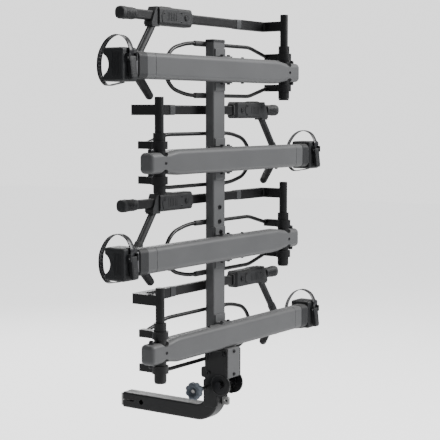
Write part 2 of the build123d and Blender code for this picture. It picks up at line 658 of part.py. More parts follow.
def build():
    save("tongue", tongue())
    save("pivot_ears", *pivot_ears())
    save("expander_wedge", expander_wedge())
    save("draw_rod", draw_rod())
    save("tightening_knob", tightening_knob())
    save("spine_main", spine_main())
    save("spine_extension", spine_extension())
    save("spine_joiner", spine_joiner())
    save("pivot_cheeks", *pivot_cheeks())
    save("latch_housing", latch_housing())
    save("pivot_bolt", pivot_bolt())
    save("latch_pin", latch_pin())
    save("tilt_lever", tilt_lever())
    save("plastic_caps", *plastic_caps())
    save("screws", *screws())
    save("hinge_sleeves", *[on_tray(hinge_sleeve(), tray) for tray in range(TRAY_COUNT)])

    same_on_all = {
        "beam": beam(), "wheel_hoop": wheel_hoop(), "arm": arm(), "grip": grip(),
        "ext_tube": ext_tube(), "cradle": cradle(), "strap": strap(), "buckle": buckle(),
    }
    for tray in range(TRAY_COUNT):
        for name, shape in same_on_all.items():
            save(f"{name}_{tray + 1}", on_tray(shape, tray))
        centre = HEAD_CENTRES[tray]
        for name, maker in (("ratchet_head", ratchet_head), ("hook", hook),
                            ("release_button", release_button)):
            save(f"{name}_{tray + 1}", on_tray(maker(centre), tray))


build()
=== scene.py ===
"""Looks for a hitch mounted bike rack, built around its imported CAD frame."""

import math

import bmesh
import bpy
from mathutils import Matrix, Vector


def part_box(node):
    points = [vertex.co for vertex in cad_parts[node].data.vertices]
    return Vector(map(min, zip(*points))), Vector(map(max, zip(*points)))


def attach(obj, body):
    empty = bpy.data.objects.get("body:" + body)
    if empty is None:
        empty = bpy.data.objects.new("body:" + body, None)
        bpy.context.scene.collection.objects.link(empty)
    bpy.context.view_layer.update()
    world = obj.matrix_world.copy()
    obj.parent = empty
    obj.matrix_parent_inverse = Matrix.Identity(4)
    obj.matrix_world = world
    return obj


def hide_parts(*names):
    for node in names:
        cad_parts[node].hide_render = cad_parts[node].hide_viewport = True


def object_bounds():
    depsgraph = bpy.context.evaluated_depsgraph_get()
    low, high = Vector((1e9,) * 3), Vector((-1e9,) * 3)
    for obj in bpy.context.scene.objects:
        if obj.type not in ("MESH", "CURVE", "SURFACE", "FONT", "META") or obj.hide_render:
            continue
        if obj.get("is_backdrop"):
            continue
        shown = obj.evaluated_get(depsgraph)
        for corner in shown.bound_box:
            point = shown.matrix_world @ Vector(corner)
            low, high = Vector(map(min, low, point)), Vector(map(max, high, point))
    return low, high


bl_info = {
    "name": "Hitch Bike Rack",
    "version": (1, 0, 0),
    "blender": (4, 5, 0),
    "location": "3D View > Sidebar > Bike Rack",
    "description": "Finishes and fine pieces of a hitch mounted bike rack",
    "category": "Object",
}

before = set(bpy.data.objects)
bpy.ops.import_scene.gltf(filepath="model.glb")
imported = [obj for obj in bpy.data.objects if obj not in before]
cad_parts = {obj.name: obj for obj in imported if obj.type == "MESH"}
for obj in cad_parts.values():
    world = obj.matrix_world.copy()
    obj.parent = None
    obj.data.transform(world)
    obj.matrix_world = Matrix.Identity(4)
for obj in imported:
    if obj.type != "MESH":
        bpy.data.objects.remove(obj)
CAD_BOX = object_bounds()

MM = 0.001
QUARTER_TURN = math.pi / 2
Y_AXIS = Vector((0, 1, 0))
UP, DOWN, REAR = (0, 0, 1), (0, 0, -1), (0, -1, 0)  # ways that a screw head faces
TRAYS = (1, 2, 3, 4)

# Places in the frame, in millimetres: the spine's rear face in Y, and the fold axle in Y and Z.
SPINE_REAR = -292.0
FOLD_AXLE = (-318.0, 100.0)

# Places on a tray, in millimetres from its beam's centre: u runs along the beam towards the arm's
# hinge, v towards the vehicle, w up.
HOOP_V, HOOP_HALF = 62.8, 78.0  # the wheel hoop's straight runs, above and below the beam
ARM_V, ARM_W = 81.0, 150.0  # middle of the arm's bar
BUTTON_STEP = 48.0  # from the ratchet head's middle to its button, along the arm
CRADLE_U, CRADLE_END = -495.0, -528.0  # middle and outer face of the cradle, along u
TROUGH_V = 56.0  # axis of the cradle's trough
PAD_BACK, PAD_FACE = 31.9, 29.8  # radii of the pad that lines the trough


# ---------------------------------------------------------------- places
def box_centre(node):
    """Middle of a CAD node's box, in Y and Z."""
    low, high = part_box(node)
    return (low.y + high.y) / 2, (low.z + high.z) / 2


CENTRES = {tray: box_centre(f"beam_{tray}") for tray in TRAYS}


def tray_side(tray):
    """+1 where the arm's hinge is at +X, -1 on the mirrored trays."""
    return 1 if tray % 2 == 0 else -1


def tab_sides(tray):
    """Sides of a beam that have a spine tab; there is none below the lowest beam."""
    return (1,) if tray == 1 else (-1, 1)


def on_tray(tray, u, v, w):
    """A point given in millimetres from a beam's centre, as a place in the frame."""
    y, z = CENTRES[tray]
    return Vector((tray_side(tray) * u * MM, y + v * MM, z + w * MM))


def tray_ring(tray, u, v, w, section):
    """A section of (v, w) pairs in millimetres, laid round a point of a tray."""
    return [on_tray(tray, u, v + a, w + b) for a, b in section]


def head_centre(tray):
    """Along-arm place of the ratchet head's middle, in tray millimetres."""
    low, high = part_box(f"release_button_{tray}")
    return tray_side(tray) * (low.x + high.x) / 2 / MM - BUTTON_STEP


# ---------------------------------------------------------------- mesh helpers
def new_piece(name, shape, finish_name, body, sharp=35.0, replaces=()):
    """A visible piece from (vertices, faces), its normals turned outward."""
    verts, faces = shape
    mesh = bpy.data.meshes.new(name)
    mesh.from_pydata([tuple(v) for v in verts], [], faces)
    work = bmesh.new()
    work.from_mesh(mesh)
    bmesh.ops.recalc_face_normals(work, faces=work.faces)
    work.to_mesh(mesh)
    work.free()
    return finish_piece(name, mesh, finish_name, body, sharp, replaces)


def finish_piece(name, mesh, finish_name, body, sharp, replaces):
    """Shade and paint a mesh, and hang it on its body."""
    mesh.shade_smooth()
    mesh.set_sharp_from_angle(angle=math.radians(sharp))
    mesh.materials.clear()
    mesh.materials.append(finish(finish_name))
    piece = bpy.data.objects.new(name, mesh)
    bpy.context.scene.collection.objects.link(piece)
    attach(piece, body)
    if replaces:
        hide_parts(*replaces)
    return piece


def loft(rings, closed=False):
    """Faces between rings of equal size, with end caps, or closed from the last to the first."""
    count = len(rings[0])
    verts = [point for ring in rings for point in ring]
    faces = []
    for step in range(len(rings) if closed else len(rings) - 1):
        first = step * count
        second = ((step + 1) % len(rings)) * count
        for side in range(count):
            after = (side + 1) % count
            faces.append((first + side, first + after, second + after, second + side))
    if not closed:
        faces.append(tuple(reversed(range(count))))
        faces.append(tuple(range(len(verts) - count, len(verts))))
    return verts, faces


def merged(*parts):
    """Several (vertices, faces) as one."""
    verts, faces = [], []
    for more_verts, more_faces in parts:
        start = len(verts)
        verts.extend(more_verts)
        faces.extend(tuple(start + index for index in face) for face in more_faces)
    return verts, faces


def rounded_ring(half_a, half_b, power, count):
    """Points of a superellipse, as pairs."""
    ring = []
    for step in range(count):
        turn = 2 * math.pi * step / count
        c, s = math.cos(turn), math.sin(turn)
        ring.append((half_a * math.copysign(abs(c) ** (2 / power), c),
                     half_b * math.copysign(abs(s) ** (2 / power), s)))
    return ring


def scaled(section, share):
    """A section of pairs at another size."""
    return [(a * share, b * share) for a, b in section]


def smooth_path(points, per_span):
    """Catmull-Rom points through a list of vectors."""
    ends = [2 * points[0] - points[1], *points, 2 * points[-1] - points[-2]]
    path = []
    for index in range(len(points) - 1):
        p0, p1, p2, p3 = ends[index:index + 4]
        for step in range(per_span):
            t = step / per_span
            path.append(0.5 * ((2 * p1) + (p2 - p0) * t + (2 * p0 - 5 * p1 + 4 * p2 - p3) * t ** 2
                               + (3 * p1 - p0 - 3 * p2 + p3) * t ** 3))
    path.append(points[-1])
    return path


def path_frames(path):
    """(point, direction) along a path."""
    frames = []
    for index, point in enumerate(path):
        before = path[max(index - 1, 0)]
        after = path[min(index + 1, len(path) - 1)]
        frames.append((point, (after - before).normalized()))
    return frames


def ring_at(point, direction, across, section):
    """A section of (across, out) pairs in metres, laid square to a direction."""
    out = direction.cross(across).normalized()
    return [point + across * a + out * b for a, b in section]


def swept(path, section, across):
    """Sweep one section along a flat path that is square to across."""
    return loft([ring_at(point, direction, across, section) for point, direction in path_frames(path)])


def tube(path, radii, across, count=20):
    """A round bar, with a radius for each point of its path."""
    return loft([ring_at(point, direction, across, rounded_ring(radius, radius, 2, count))
                 for (point, direction), radius in zip(path_frames(path), radii)])


def slab(outline, thickness, place, bevel):
    """A plate with a bevelled rim: outline in pairs, thickness (from, to), place maps (a, b, t)."""
    low, high = thickness
    centre_a = sum(a for a, _ in outline) / len(outline)
    centre_b = sum(b for _, b in outline) / len(outline)
    rings = []
    for level, inset in ((low, bevel), (low + bevel, 0), (high - bevel, 0), (high, bevel)):
        ring = []
        for a, b in outline:
            away = math.hypot(a - centre_a, b - centre_b) or 1.0
            share = 1 - inset / away
            ring.append(place(centre_a + (a - centre_a) * share, centre_b + (b - centre_b) * share,
                              level))
        rings.append(ring)
    return loft(rings)


def soft_corners(outline, radius, steps=4):
    """Round the corners of a polygon of pairs."""
    rounded = []
    for index, corner in enumerate(outline):
        corner = Vector(corner)
        before = Vector(outline[index - 1])
        after = Vector(outline[(index + 1) % len(outline)])
        reach = min(radius, (before - corner).length * 0.45, (after - corner).length * 0.45)
        start = corner + (before - corner).normalized() * reach
        end = corner + (after - corner).normalized() * reach
        for step in range(steps + 1):
            t = step / steps
            point = (1 - t) ** 2 * start + 2 * t * (1 - t) * corner + t ** 2 * end
            rounded.append((point.x, point.y))
    return rounded


# ---------------------------------------------------------------- node tree helpers
def add_node(tree, kind, links=(), **settings):
    """Make a node; links are (input name or number, socket or value)."""
    made = tree.nodes.new(kind)
    for key, value in settings.items():
        setattr(made, key, value)
    for key, value in links:
        if isinstance(value, bpy.types.NodeSocket):
            tree.links.new(value, made.inputs[key])
        else:
            made.inputs[key].default_value = value
    return made


def math_node(tree, operation, *values, clamp=False):
    """The result of a sum on sockets or numbers."""
    made = add_node(tree, "ShaderNodeMath", enumerate(values), operation=operation, use_clamp=clamp)
    return made.outputs[0]


def shader_group(name, inputs, outputs):
    """A shader group with named sockets; returns it with its ends."""
    group = bpy.data.node_groups.new(name, "ShaderNodeTree")
    for label, kind, default in inputs:
        socket = group.interface.new_socket(label, in_out="INPUT", socket_type=kind)
        socket.default_value = default
    for label, kind in outputs:
        group.interface.new_socket(label, in_out="OUTPUT", socket_type=kind)
    return group, group.nodes.new("NodeGroupInput"), group.nodes.new("NodeGroupOutput")


def edge_wear_group():
    """Mask that is white on outer edges, broken up by noise."""
    group, given, result = shader_group(
        "Edge wear",
        [("Edge Width", "NodeSocketFloat", 0.0015), ("Strength", "NodeSocketFloat", 3.0),
         ("Breakup Scale", "NodeSocketFloat", 90.0)],
        [("Mask", "NodeSocketFloat")])
    rounded = add_node(group, "ShaderNodeBevel", (("Radius", given.outputs["Edge Width"]),),
                       samples=4)
    surface = add_node(group, "ShaderNodeNewGeometry")
    match = add_node(group, "ShaderNodeVectorMath",
                     ((0, rounded.outputs[0]), (1, surface.outputs["Normal"])), operation="DOT_PRODUCT")
    corner = math_node(group, "SUBTRACT", 1.0, match.outputs["Value"])
    corner = math_node(group, "MULTIPLY", corner, given.outputs["Strength"])
    where = add_node(group, "ShaderNodeTexCoord")
    noise = add_node(group, "ShaderNodeTexNoise",
                     (("Vector", where.outputs["Object"]), ("Scale", given.outputs["Breakup Scale"]),
                      ("Detail", 4.0)))
    patchy = add_node(group, "ShaderNodeMapRange",
                      (("Value", noise.outputs[0]), ("From Min", 0.42), ("From Max", 0.66)))
    mask = math_node(group, "MULTIPLY", corner, patchy.outputs[0], clamp=True)
    group.links.new(mask, result.inputs["Mask"])
    return group


def grain_group():
    """Fine surface relief and a slow drift of tone."""
    group, given, result = shader_group(
        "Surface grain",
        [("Grain Scale", "NodeSocketFloat", 900.0), ("Drift Scale", "NodeSocketFloat", 6.0),
         ("Roundness", "NodeSocketFloat", 0.5)],
        [("Height", "NodeSocketFloat"), ("Drift", "NodeSocketFloat")])
    where = add_node(group, "ShaderNodeTexCoord")
    noise = add_node(group, "ShaderNodeTexNoise",
                     (("Vector", where.outputs["Object"]), ("Scale", given.outputs["Grain Scale"]),
                      ("Detail", 2.0)))
    cells = add_node(group, "ShaderNodeTexVoronoi",
                     (("Vector", where.outputs["Object"]), ("Scale", given.outputs["Grain Scale"])))
    blend = add_node(group, "ShaderNodeMix",
                     ((0, given.outputs["Roundness"]), (2, noise.outputs[0]),
                      (3, cells.outputs["Distance"])), data_type="FLOAT")
    slow = add_node(group, "ShaderNodeTexNoise",
                    (("Vector", where.outputs["Object"]), ("Scale", given.outputs["Drift Scale"]),
                     ("Detail", 5.0), ("Roughness", 0.6)))
    group.links.new(blend.outputs[0], result.inputs["Height"])
    group.links.new(slow.outputs[0], result.inputs["Drift"])
    return group


def dust_group():
    """Mask for road dust that settles on faces that look up."""
    group, given, result = shader_group(
        "Settled dust",
        [("Amount", "NodeSocketFloat", 0.3), ("Patch Scale", "NodeSocketFloat", 25.0)],
        [("Mask", "NodeSocketFloat")])
    surface = add_node(group, "ShaderNodeNewGeometry")
    split = add_node(group, "ShaderNodeSeparateXYZ", ((0, surface.outputs["Normal"]),))
    up = add_node(group, "ShaderNodeMapRange",
                  (("Value", split.outputs[2]), ("From Min", 0.1), ("From Max", 1.0)))
    where = add_node(group, "ShaderNodeTexCoord")
    noise = add_node(group, "ShaderNodeTexNoise",
                     (("Vector", where.outputs["Object"]), ("Scale", given.outputs["Patch Scale"]),
                      ("Detail", 6.0), ("Roughness", 0.65)))
    patchy = math_node(group, "MULTIPLY", up.outputs[0], noise.outputs[0])
    mask = math_node(group, "MULTIPLY", patchy, given.outputs["Amount"], clamp=True)
    group.links.new(mask, result.inputs["Mask"])
    return group


GROUPS = {}


def shared_group(name):
    """A group that every finish shares, made the first time it is asked for."""
    makers = {"Edge wear": edge_wear_group, "Surface grain": grain_group, "Settled dust": dust_group}
    if name not in GROUPS:
        GROUPS[name] = makers[name]()
    return GROUPS[name]


DUST_COLOUR = (0.42, 0.40, 0.37, 1.0)
DUST_ROUGHNESS = 0.5  # what full dust adds to the roughness
ROUGHNESS_DRIFT = 0.16  # how far the roughness wanders over a surface
COAT_ROUGHNESS = 0.25
RELIEF_DEPTH = 0.0006


def surface(name, colour, roughness, wear, grain, bump, dust, worn=(0.35, 0.35, 0.36), edge=0.0012,
            roundness=0.4, drift=0.18, metallic=0.0, coat=0.0, sheen=0.0):
    """One finish: base colour with drift, worn edges, dust on top and a fine relief."""
    material = bpy.data.materials.new(name)
    material.use_nodes = True
    tree = material.node_tree
    shader = tree.nodes["Principled BSDF"]
    relief = add_node(tree, "ShaderNodeGroup", node_tree=shared_group("Surface grain"))
    relief.inputs["Grain Scale"].default_value = grain
    relief.inputs["Roundness"].default_value = roundness
    edges = add_node(tree, "ShaderNodeGroup", node_tree=shared_group("Edge wear"))
    edges.inputs["Edge Width"].default_value = edge
    edges.inputs["Strength"].default_value = wear
    settled = add_node(tree, "ShaderNodeGroup", node_tree=shared_group("Settled dust"))
    settled.inputs["Amount"].default_value = dust
    tone = add_node(tree, "ShaderNodeMapRange",
                    (("Value", relief.outputs["Drift"]), ("From Min", 0.3), ("From Max", 0.7),
                     ("To Min", 1 - drift), ("To Max", 1 + drift)))
    base = add_node(tree, "ShaderNodeVectorMath", ((0, colour), (1, tone.outputs[0])),
                    operation="MULTIPLY")
    bare = add_node(tree, "ShaderNodeMix",
                    ((0, edges.outputs[0]), (6, base.outputs[0]), (7, (*worn, 1.0))), data_type="RGBA")
    dusty = add_node(tree, "ShaderNodeMix",
                     ((0, settled.outputs[0]), (6, bare.outputs[2]), (7, DUST_COLOUR)),
                     data_type="RGBA")
    tree.links.new(dusty.outputs[2], shader.inputs["Base Color"])
    matt = math_node(tree, "MULTIPLY", settled.outputs[0], DUST_ROUGHNESS)
    uneven = math_node(tree, "MULTIPLY_ADD", relief.outputs["Drift"], ROUGHNESS_DRIFT,
                       roughness - ROUGHNESS_DRIFT / 2)
    rough = math_node(tree, "ADD", uneven, matt, clamp=True)
    tree.links.new(rough, shader.inputs["Roughness"])
    bumped = add_node(tree, "ShaderNodeBump",
                      (("Height", relief.outputs["Height"]), ("Strength", bump),
                       ("Distance", RELIEF_DEPTH)))
    tree.links.new(bumped.outputs[0], shader.inputs["Normal"])
    shader.inputs["Metallic"].default_value = metallic
    shader.inputs["Coat Weight"].default_value = coat
    shader.inputs["Coat Roughness"].default_value = COAT_ROUGHNESS
    shader.inputs["Sheen Weight"].default_value = sheen
    return material


# Each finish: its base colour, or the setting that holds it, then what surface() is told.
FINISHES = {
    "powder_grey": ("powder_grey", dict(
        roughness=0.46, wear=2.2, grain=1300.0, bump=0.22, roundness=0.2, dust=0.18, drift=0.07,
        coat=0.08)),
    "powder_black": ("powder_black", dict(
        roughness=0.38, worn=(0.20, 0.20, 0.21), wear=1.8, grain=1500.0, bump=0.25, roundness=0.2,
        dust=0.12, drift=0.2, coat=0.12)),
    "plastic_dark": ("plastic_dark", dict(
        roughness=0.52, worn=(0.16, 0.16, 0.17), wear=1.4, grain=2200.0, bump=0.35, roundness=0.8,
        dust=0.16, drift=0.12)),
    "plastic_black": ((0.020, 0.021, 0.023), dict(
        roughness=0.48, worn=(0.10, 0.10, 0.11), wear=1.2, grain=2400.0, bump=0.30, roundness=0.8,
        dust=0.14, drift=0.15)),
    "zinc_plated": ((0.55, 0.55, 0.54), dict(
        roughness=0.32, worn=(0.75, 0.75, 0.74), wear=1.5, grain=600.0, bump=0.10, dust=0.10,
        drift=0.22, metallic=1.0)),
    "plated_tab": ((0.50, 0.50, 0.49), dict(
        roughness=0.45, worn=(0.65, 0.65, 0.64), wear=1.5, grain=700.0, bump=0.12, dust=0.10,
        drift=0.15, metallic=0.6)),
    "black_oxide": ((0.045, 0.045, 0.048), dict(
        roughness=0.34, worn=(0.30, 0.30, 0.30), wear=2.0, edge=0.0005, grain=1500.0, bump=0.10,
        dust=0.08, metallic=0.8)),
    "blasted_tube": ((0.24, 0.24, 0.25), dict(
        roughness=0.42, worn=(0.5, 0.5, 0.5), wear=1.6, grain=2600.0, bump=0.15, dust=0.1, drift=0.1,
        metallic=0.5)),
    "knob_plastic": ("knob_blue_grey", dict(
        roughness=0.42, worn=(0.30, 0.32, 0.35), wear=1.4, grain=2000.0, bump=0.25, roundness=0.8,
        dust=0.14, drift=0.12)),
    "hook_coat": ((0.040, 0.041, 0.043), dict(
        roughness=0.50, worn=(0.20, 0.20, 0.21), wear=1.4, grain=1600.0, bump=0.30, roundness=0.6,
        dust=0.16, drift=0.14)),
    "rubber_black": ((0.026, 0.026, 0.028), dict(
        roughness=0.62, worn=(0.09, 0.09, 0.09), wear=1.0, grain=1900.0, bump=0.35, roundness=0.7,
        dust=0.22, drift=0.2, sheen=0.15)),
    "strap_plastic": ((0.022, 0.022, 0.025), dict(
        roughness=0.34, worn=(0.16, 0.16, 0.16), wear=1.2, grain=1200.0, bump=0.12, dust=0.12,
        drift=0.12, coat=0.2)),
    # The end band's pale colour is a painted highlight on a raised plastic band.
    "band_plastic_painted_highlight": ((0.075, 0.077, 0.081), dict(
        roughness=0.48, wear=1.0, grain=2000.0, bump=0.25, roundness=0.8, dust=0.12, drift=0.1)),
}


def finish(name):
    """The material of a finish, made the first time it is asked for."""
    if name in bpy.data.materials:
        return bpy.data.materials[name]
    colour, values = FINISHES[name]
    if isinstance(colour, str):
        colour = tuple(getattr(bpy.context.scene.rack_finishes, colour))
    return surface(name, colour, **values)


# ---------------------------------------------------------------- repeated shapes
def geometry_tree(name, inputs):
    """A geometry node tree with named inputs; returns it with its ends."""
    tree = bpy.data.node_groups.new(name, "GeometryNodeTree")
    tree.interface.new_socket("Geometry", in_out="INPUT", socket_type="NodeSocketGeometry")
    for label, kind, default in inputs:
        socket = tree.interface.new_socket(label, in_out="INPUT", socket_type=kind)
        socket.default_value = default
    tree.interface.new_socket("Material", in_out="INPUT", socket_type="NodeSocketMaterial")
    tree.interface.new_socket("Geometry", in_out="OUTPUT", socket_type="NodeSocketGeometry")
    return tree, tree.nodes.new("NodeGroupInput"), tree.nodes.new("NodeGroupOutput")


def place_shape(tree, given, result, shape):
    """Put the shape on every point, turned and stretched as the point says."""
    turn, stretch = (add_node(tree, "GeometryNodeInputNamedAttribute", (("Name", name),),
                              data_type="FLOAT_VECTOR") for name in ("turn", "stretch"))
    spin = add_node(tree, "FunctionNodeEulerToRotation", ((0, turn.outputs[0]),))
    placed = add_node(tree, "GeometryNodeInstanceOnPoints",
                      (("Points", given.outputs["Geometry"]), ("Instance", shape),
                       ("Rotation", spin.outputs[0]), ("Scale", stretch.outputs[0])))
    real = add_node(tree, "GeometryNodeRealizeInstances", ((0, placed.outputs[0]),))
    painted = add_node(tree, "GeometryNodeSetMaterial",
                       (("Geometry", real.outputs[0]), ("Material", given.outputs["Material"])))
    tree.links.new(painted.outputs[0], result.inputs[0])
    return tree


def screw_tree():
    """Domed cap with a hexagon socket, one unit in radius and height, standing on its point."""
    tree, given, result = geometry_tree("Socket screw heads", [
        ("Sides", "NodeSocketInt", 28), ("Dome Share", "NodeSocketFloat", 0.78),
        ("Socket Radius", "NodeSocketFloat", 0.52), ("Socket Depth", "NodeSocketFloat", 0.6)])
    rim = add_node(tree, "GeometryNodeMeshCylinder",
                   (("Vertices", given.outputs["Sides"]), ("Radius", 1.0), ("Depth", 0.6)))
    rim_up = add_node(tree, "GeometryNodeTransform",
                      ((0, rim.outputs[0]), ("Translation", (0, 0, 0.3))))
    dome = add_node(tree, "GeometryNodeMeshCone",
                    (("Vertices", given.outputs["Sides"]), ("Radius Top", given.outputs["Dome Share"]),
                     ("Radius Bottom", 1.0), ("Depth", 0.4)))
    dome_up = add_node(tree, "GeometryNodeTransform",
                       ((0, dome.outputs[0]), ("Translation", (0, 0, 0.6))))
    socket = add_node(tree, "GeometryNodeMeshCylinder",
                      (("Vertices", 6), ("Radius", given.outputs["Socket Radius"]), ("Depth", 2.0)))
    lift = math_node(tree, "SUBTRACT", 2.0, given.outputs["Socket Depth"])
    shift = add_node(tree, "ShaderNodeCombineXYZ", ((2, lift),))
    socket_up = add_node(tree, "GeometryNodeTransform",
                         ((0, socket.outputs[0]), ("Translation", shift.outputs[0])))
    head = add_node(tree, "GeometryNodeMeshBoolean", operation="UNION")
    tree.links.new(rim_up.outputs[0], head.inputs[1])
    tree.links.new(dome_up.outputs[0], head.inputs[1])
    cut = add_node(tree, "GeometryNodeMeshBoolean", ((0, head.outputs[0]),), operation="DIFFERENCE")
    tree.links.new(socket_up.outputs[0], cut.inputs[1])
    return place_shape(tree, given, result, cut.outputs[0])


def rib_tree():
    """Round-backed rib along X, one unit long and one unit in radius before it is stretched."""
    tree, given, result = geometry_tree("Moulded ribs", [("Sides", "NodeSocketInt", 10)])
    bar = add_node(tree, "GeometryNodeMeshCylinder",
                   (("Vertices", given.outputs["Sides"]), ("Radius", 1.0), ("Depth", 0.86),
                    ("Side Segments", 1)))
    ends = []
    for side in (-1, 1):
        end = add_node(tree, "GeometryNodeMeshCone",
                       (("Vertices", given.outputs["Sides"]), ("Radius Top", 0.55),
                        ("Radius Bottom", 1.0), ("Depth", 0.07)))
        turned = add_node(tree, "GeometryNodeTransform",
                          ((0, end.outputs[0]), ("Translation", (0, 0, side * 0.43)),
                           ("Rotation", (0 if side > 0 else math.pi, 0, 0))))
        ends.append(turned.outputs[0])
    whole = add_node(tree, "GeometryNodeJoinGeometry")
    for part in (bar.outputs[0], *ends):
        tree.links.new(part, whole.inputs[0])
    laid = add_node(tree, "GeometryNodeTransform",
                    ((0, whole.outputs[0]), ("Rotation", (0, QUARTER_TURN, 0))))
    return place_shape(tree, given, result, laid.outputs[0])


def ring_tree():
    """Ring about X of one unit radius with a round wire."""
    tree, given, result = geometry_tree("Raised rings", [
        ("Wire Share", "NodeSocketFloat", 0.08), ("Sides", "NodeSocketInt", 36)])
    circle = add_node(tree, "GeometryNodeCurvePrimitiveCircle",
                      (("Resolution", given.outputs["Sides"]), ("Radius", 1.0)))
    wire = add_node(tree, "GeometryNodeCurvePrimitiveCircle",
                    (("Resolution", 8), ("Radius", given.outputs["Wire Share"])))
    ring = add_node(tree, "GeometryNodeCurveToMesh", ((0, circle.outputs[0]), (1, wire.outputs[0])))
    turned = add_node(tree, "GeometryNodeTransform",
                      ((0, ring.outputs[0]), ("Rotation", (0, QUARTER_TURN, 0))))
    return place_shape(tree, given, result, turned.outputs[0])


def bead_tree():
    """One ripple of a weld bead."""
    tree, given, result = geometry_tree("Weld ripples", [
        ("Segments", "NodeSocketInt", 10), ("Rings", "NodeSocketInt", 6)])
    ball = add_node(tree, "GeometryNodeMeshUVSphere",
                    (("Segments", given.outputs["Segments"]), ("Rings", given.outputs["Rings"]),
                     ("Radius", 1.0)))
    return place_shape(tree, given, result, ball.outputs[0])


TREES = {}


def scattered(name, tree_name, spots, finish_name, body, inputs=(), replaces=(), sharp=40.0):
    """A plain mesh of one repeated shape; spots are (place, turn, stretch)."""
    makers = {"screw": screw_tree, "rib": rib_tree, "ring": ring_tree, "bead": bead_tree}
    if tree_name not in TREES:
        TREES[tree_name] = makers[tree_name]()
    tree = TREES[tree_name]
    points = bpy.data.meshes.new(name + "_points")
    points.from_pydata([tuple(place) for place, _, _ in spots], [], [])
    for label, which in (("turn", 1), ("stretch", 2)):
        layer = points.attributes.new(label, "FLOAT_VECTOR", "POINT")
        layer.data.foreach_set("vector", [value for spot in spots for value in spot[which]])
    carrier = bpy.data.objects.new(name + "_points", points)
    bpy.context.scene.collection.objects.link(carrier)
    modifier = carrier.modifiers.new("Repeat", "NODES")
    modifier.node_group = tree
    sockets = {item.name: item.identifier for item in tree.interface.items_tree
               if item.item_type == "SOCKET" and item.in_out == "INPUT"}
    modifier[sockets["Material"]] = finish(finish_name)
    for label, value in inputs:
        modifier[sockets[label]] = value
    bpy.context.view_layer.update()
    evaluated = carrier.evaluated_get(bpy.context.evaluated_depsgraph_get())
    mesh = bpy.data.meshes.new_from_object(evaluated)
    bpy.data.objects.remove(carrier)
    bpy.data.meshes.remove(points)
    mesh.name = name
    for label in ("turn", "stretch"):
        if label in mesh.attributes:
            mesh.attributes.remove(mesh.attributes[label])
    return finish_piece(name, mesh, finish_name, body, sharp, replaces)


def turn_to(direction):
    """Euler turn that points a shape's Z along a direction."""
    return tuple(Vector(direction).to_track_quat("Z", "Y").to_euler())


def spot(place, turn, stretch):
    """One repeat of a shape, with its size in millimetres."""
    return place, turn, tuple(size * MM for size in stretch)


def screw(place, facing, radius, height):
    """A screw head that stands on its place and faces a direction."""
    return spot(place, turn_to(facing), (radius, radius, height))


# ---------------------------------------------------------------- settings
class RackFinishes(bpy.types.PropertyGroup):
    """Colours of the rack's coats and mouldings."""

    powder_grey: bpy.props.FloatVectorProperty(
        name="Grey coat", description="Powder coat on the beams and spine", subtype="COLOR", size=3,
        min=0.0, max=1.0, default=(0.132, 0.134, 0.137))
    powder_black: bpy.props.FloatVectorProperty(
        name="Black coat", description="Powder coat on the tongue, arms and hoops", subtype="COLOR",
        size=3, min=0.0, max=1.0, default=(0.009, 0.009, 0.010))
    plastic_dark: bpy.props.FloatVectorProperty(
        name="Dark plastic", description="Ratchet heads, grips and caps", subtype="COLOR", size=3,
        min=0.0, max=1.0, default=(0.030, 0.031, 0.033))
    knob_blue_grey: bpy.props.FloatVectorProperty(
        name="Knob", description="Tightening knob", subtype="COLOR", size=3,
        min=0.0, max=1.0, default=(0.105, 0.125, 0.155))


class RackSizes(bpy.types.PropertyGroup):
    """Sizes of the fine pieces, in metres."""

    strap_pitch: bpy.props.FloatProperty(
        name="Strap tooth pitch", description="Distance between the ratchet strap's teeth",
        unit="LENGTH", default=0.0052, min=0.003, max=0.02)
    strap_width: bpy.props.FloatProperty(
        name="Strap width", description="Width of the ratchet strap", unit="LENGTH",
        default=0.0196, min=0.01, max=0.03)
    grip_ribs: bpy.props.IntProperty(
        name="Grip ribs", description="Raised rings on each arm's grip", default=6, min=0, max=20)
    knob_lobes: bpy.props.IntProperty(
        name="Knob lobes", description="Finger lobes of the tightening knob", default=8, min=3, max=16)
    weld_pitch: bpy.props.FloatProperty(
        name="Weld ripple pitch", description="Distance between ripples of a weld bead", unit="LENGTH",
        default=0.0021, min=0.001, max=0.01)


# ---------------------------------------------------------------- pieces
class RackPiece:
    """What the operators of this add-on share."""

    bl_options = {"REGISTER", "UNDO"}


class BIKERACK_OT_finishes(RackPiece, bpy.types.Operator):
    """Give every CAD part of the rack its finish"""

    bl_idname = "bike_rack.finishes"
    bl_label = "Paint the frame"

    PAINTS = {
        # The pivot cheeks' black is partly their own black coat and partly painted shade on their
        # shaded side.
        "powder_black": ("tongue", "pivot_ears", "pivot_cheeks", "tilt_lever", "hinge_sleeves",
                         "wheel_hoop", "arm"),
        "powder_grey": ("spine_main", "spine_extension", "latch_housing", "beam"),
        "zinc_plated": ("expander_wedge", "draw_rod", "latch_pin", "spine_joiner"),
        "black_oxide": ("pivot_bolt", "screws"),
        "plastic_dark": ("plastic_caps", "grip", "ratchet_head"),
        "plastic_black": ("cradle", "buckle", "release_button"),
        "knob_plastic": ("tightening_knob",),
        "blasted_tube": ("ext_tube",),
        "strap_plastic": ("strap",),
        "hook_coat": ("hook",),
    }
    LOCK_EYE_HALF = 0.005  # the ears' node has nothing but the lock eye this near the middle

    def execute(self, context):
        paints = {kind: paint for paint, kinds in self.PAINTS.items() for kind in kinds}
        for name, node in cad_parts.items():
            kind = name if name in paints else name.rsplit("_", 1)[0]
            node.data.materials.clear()
            node.data.materials.append(finish(paints[kind]))
            for face in node.data.polygons:
                face.material_index = 0
        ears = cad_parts["pivot_ears"].data
        ears.materials.append(finish("plated_tab"))
        for face in ears.polygons:
            if abs(face.center.x) < self.LOCK_EYE_HALF:
                face.material_index = 1
        return {"FINISHED"}


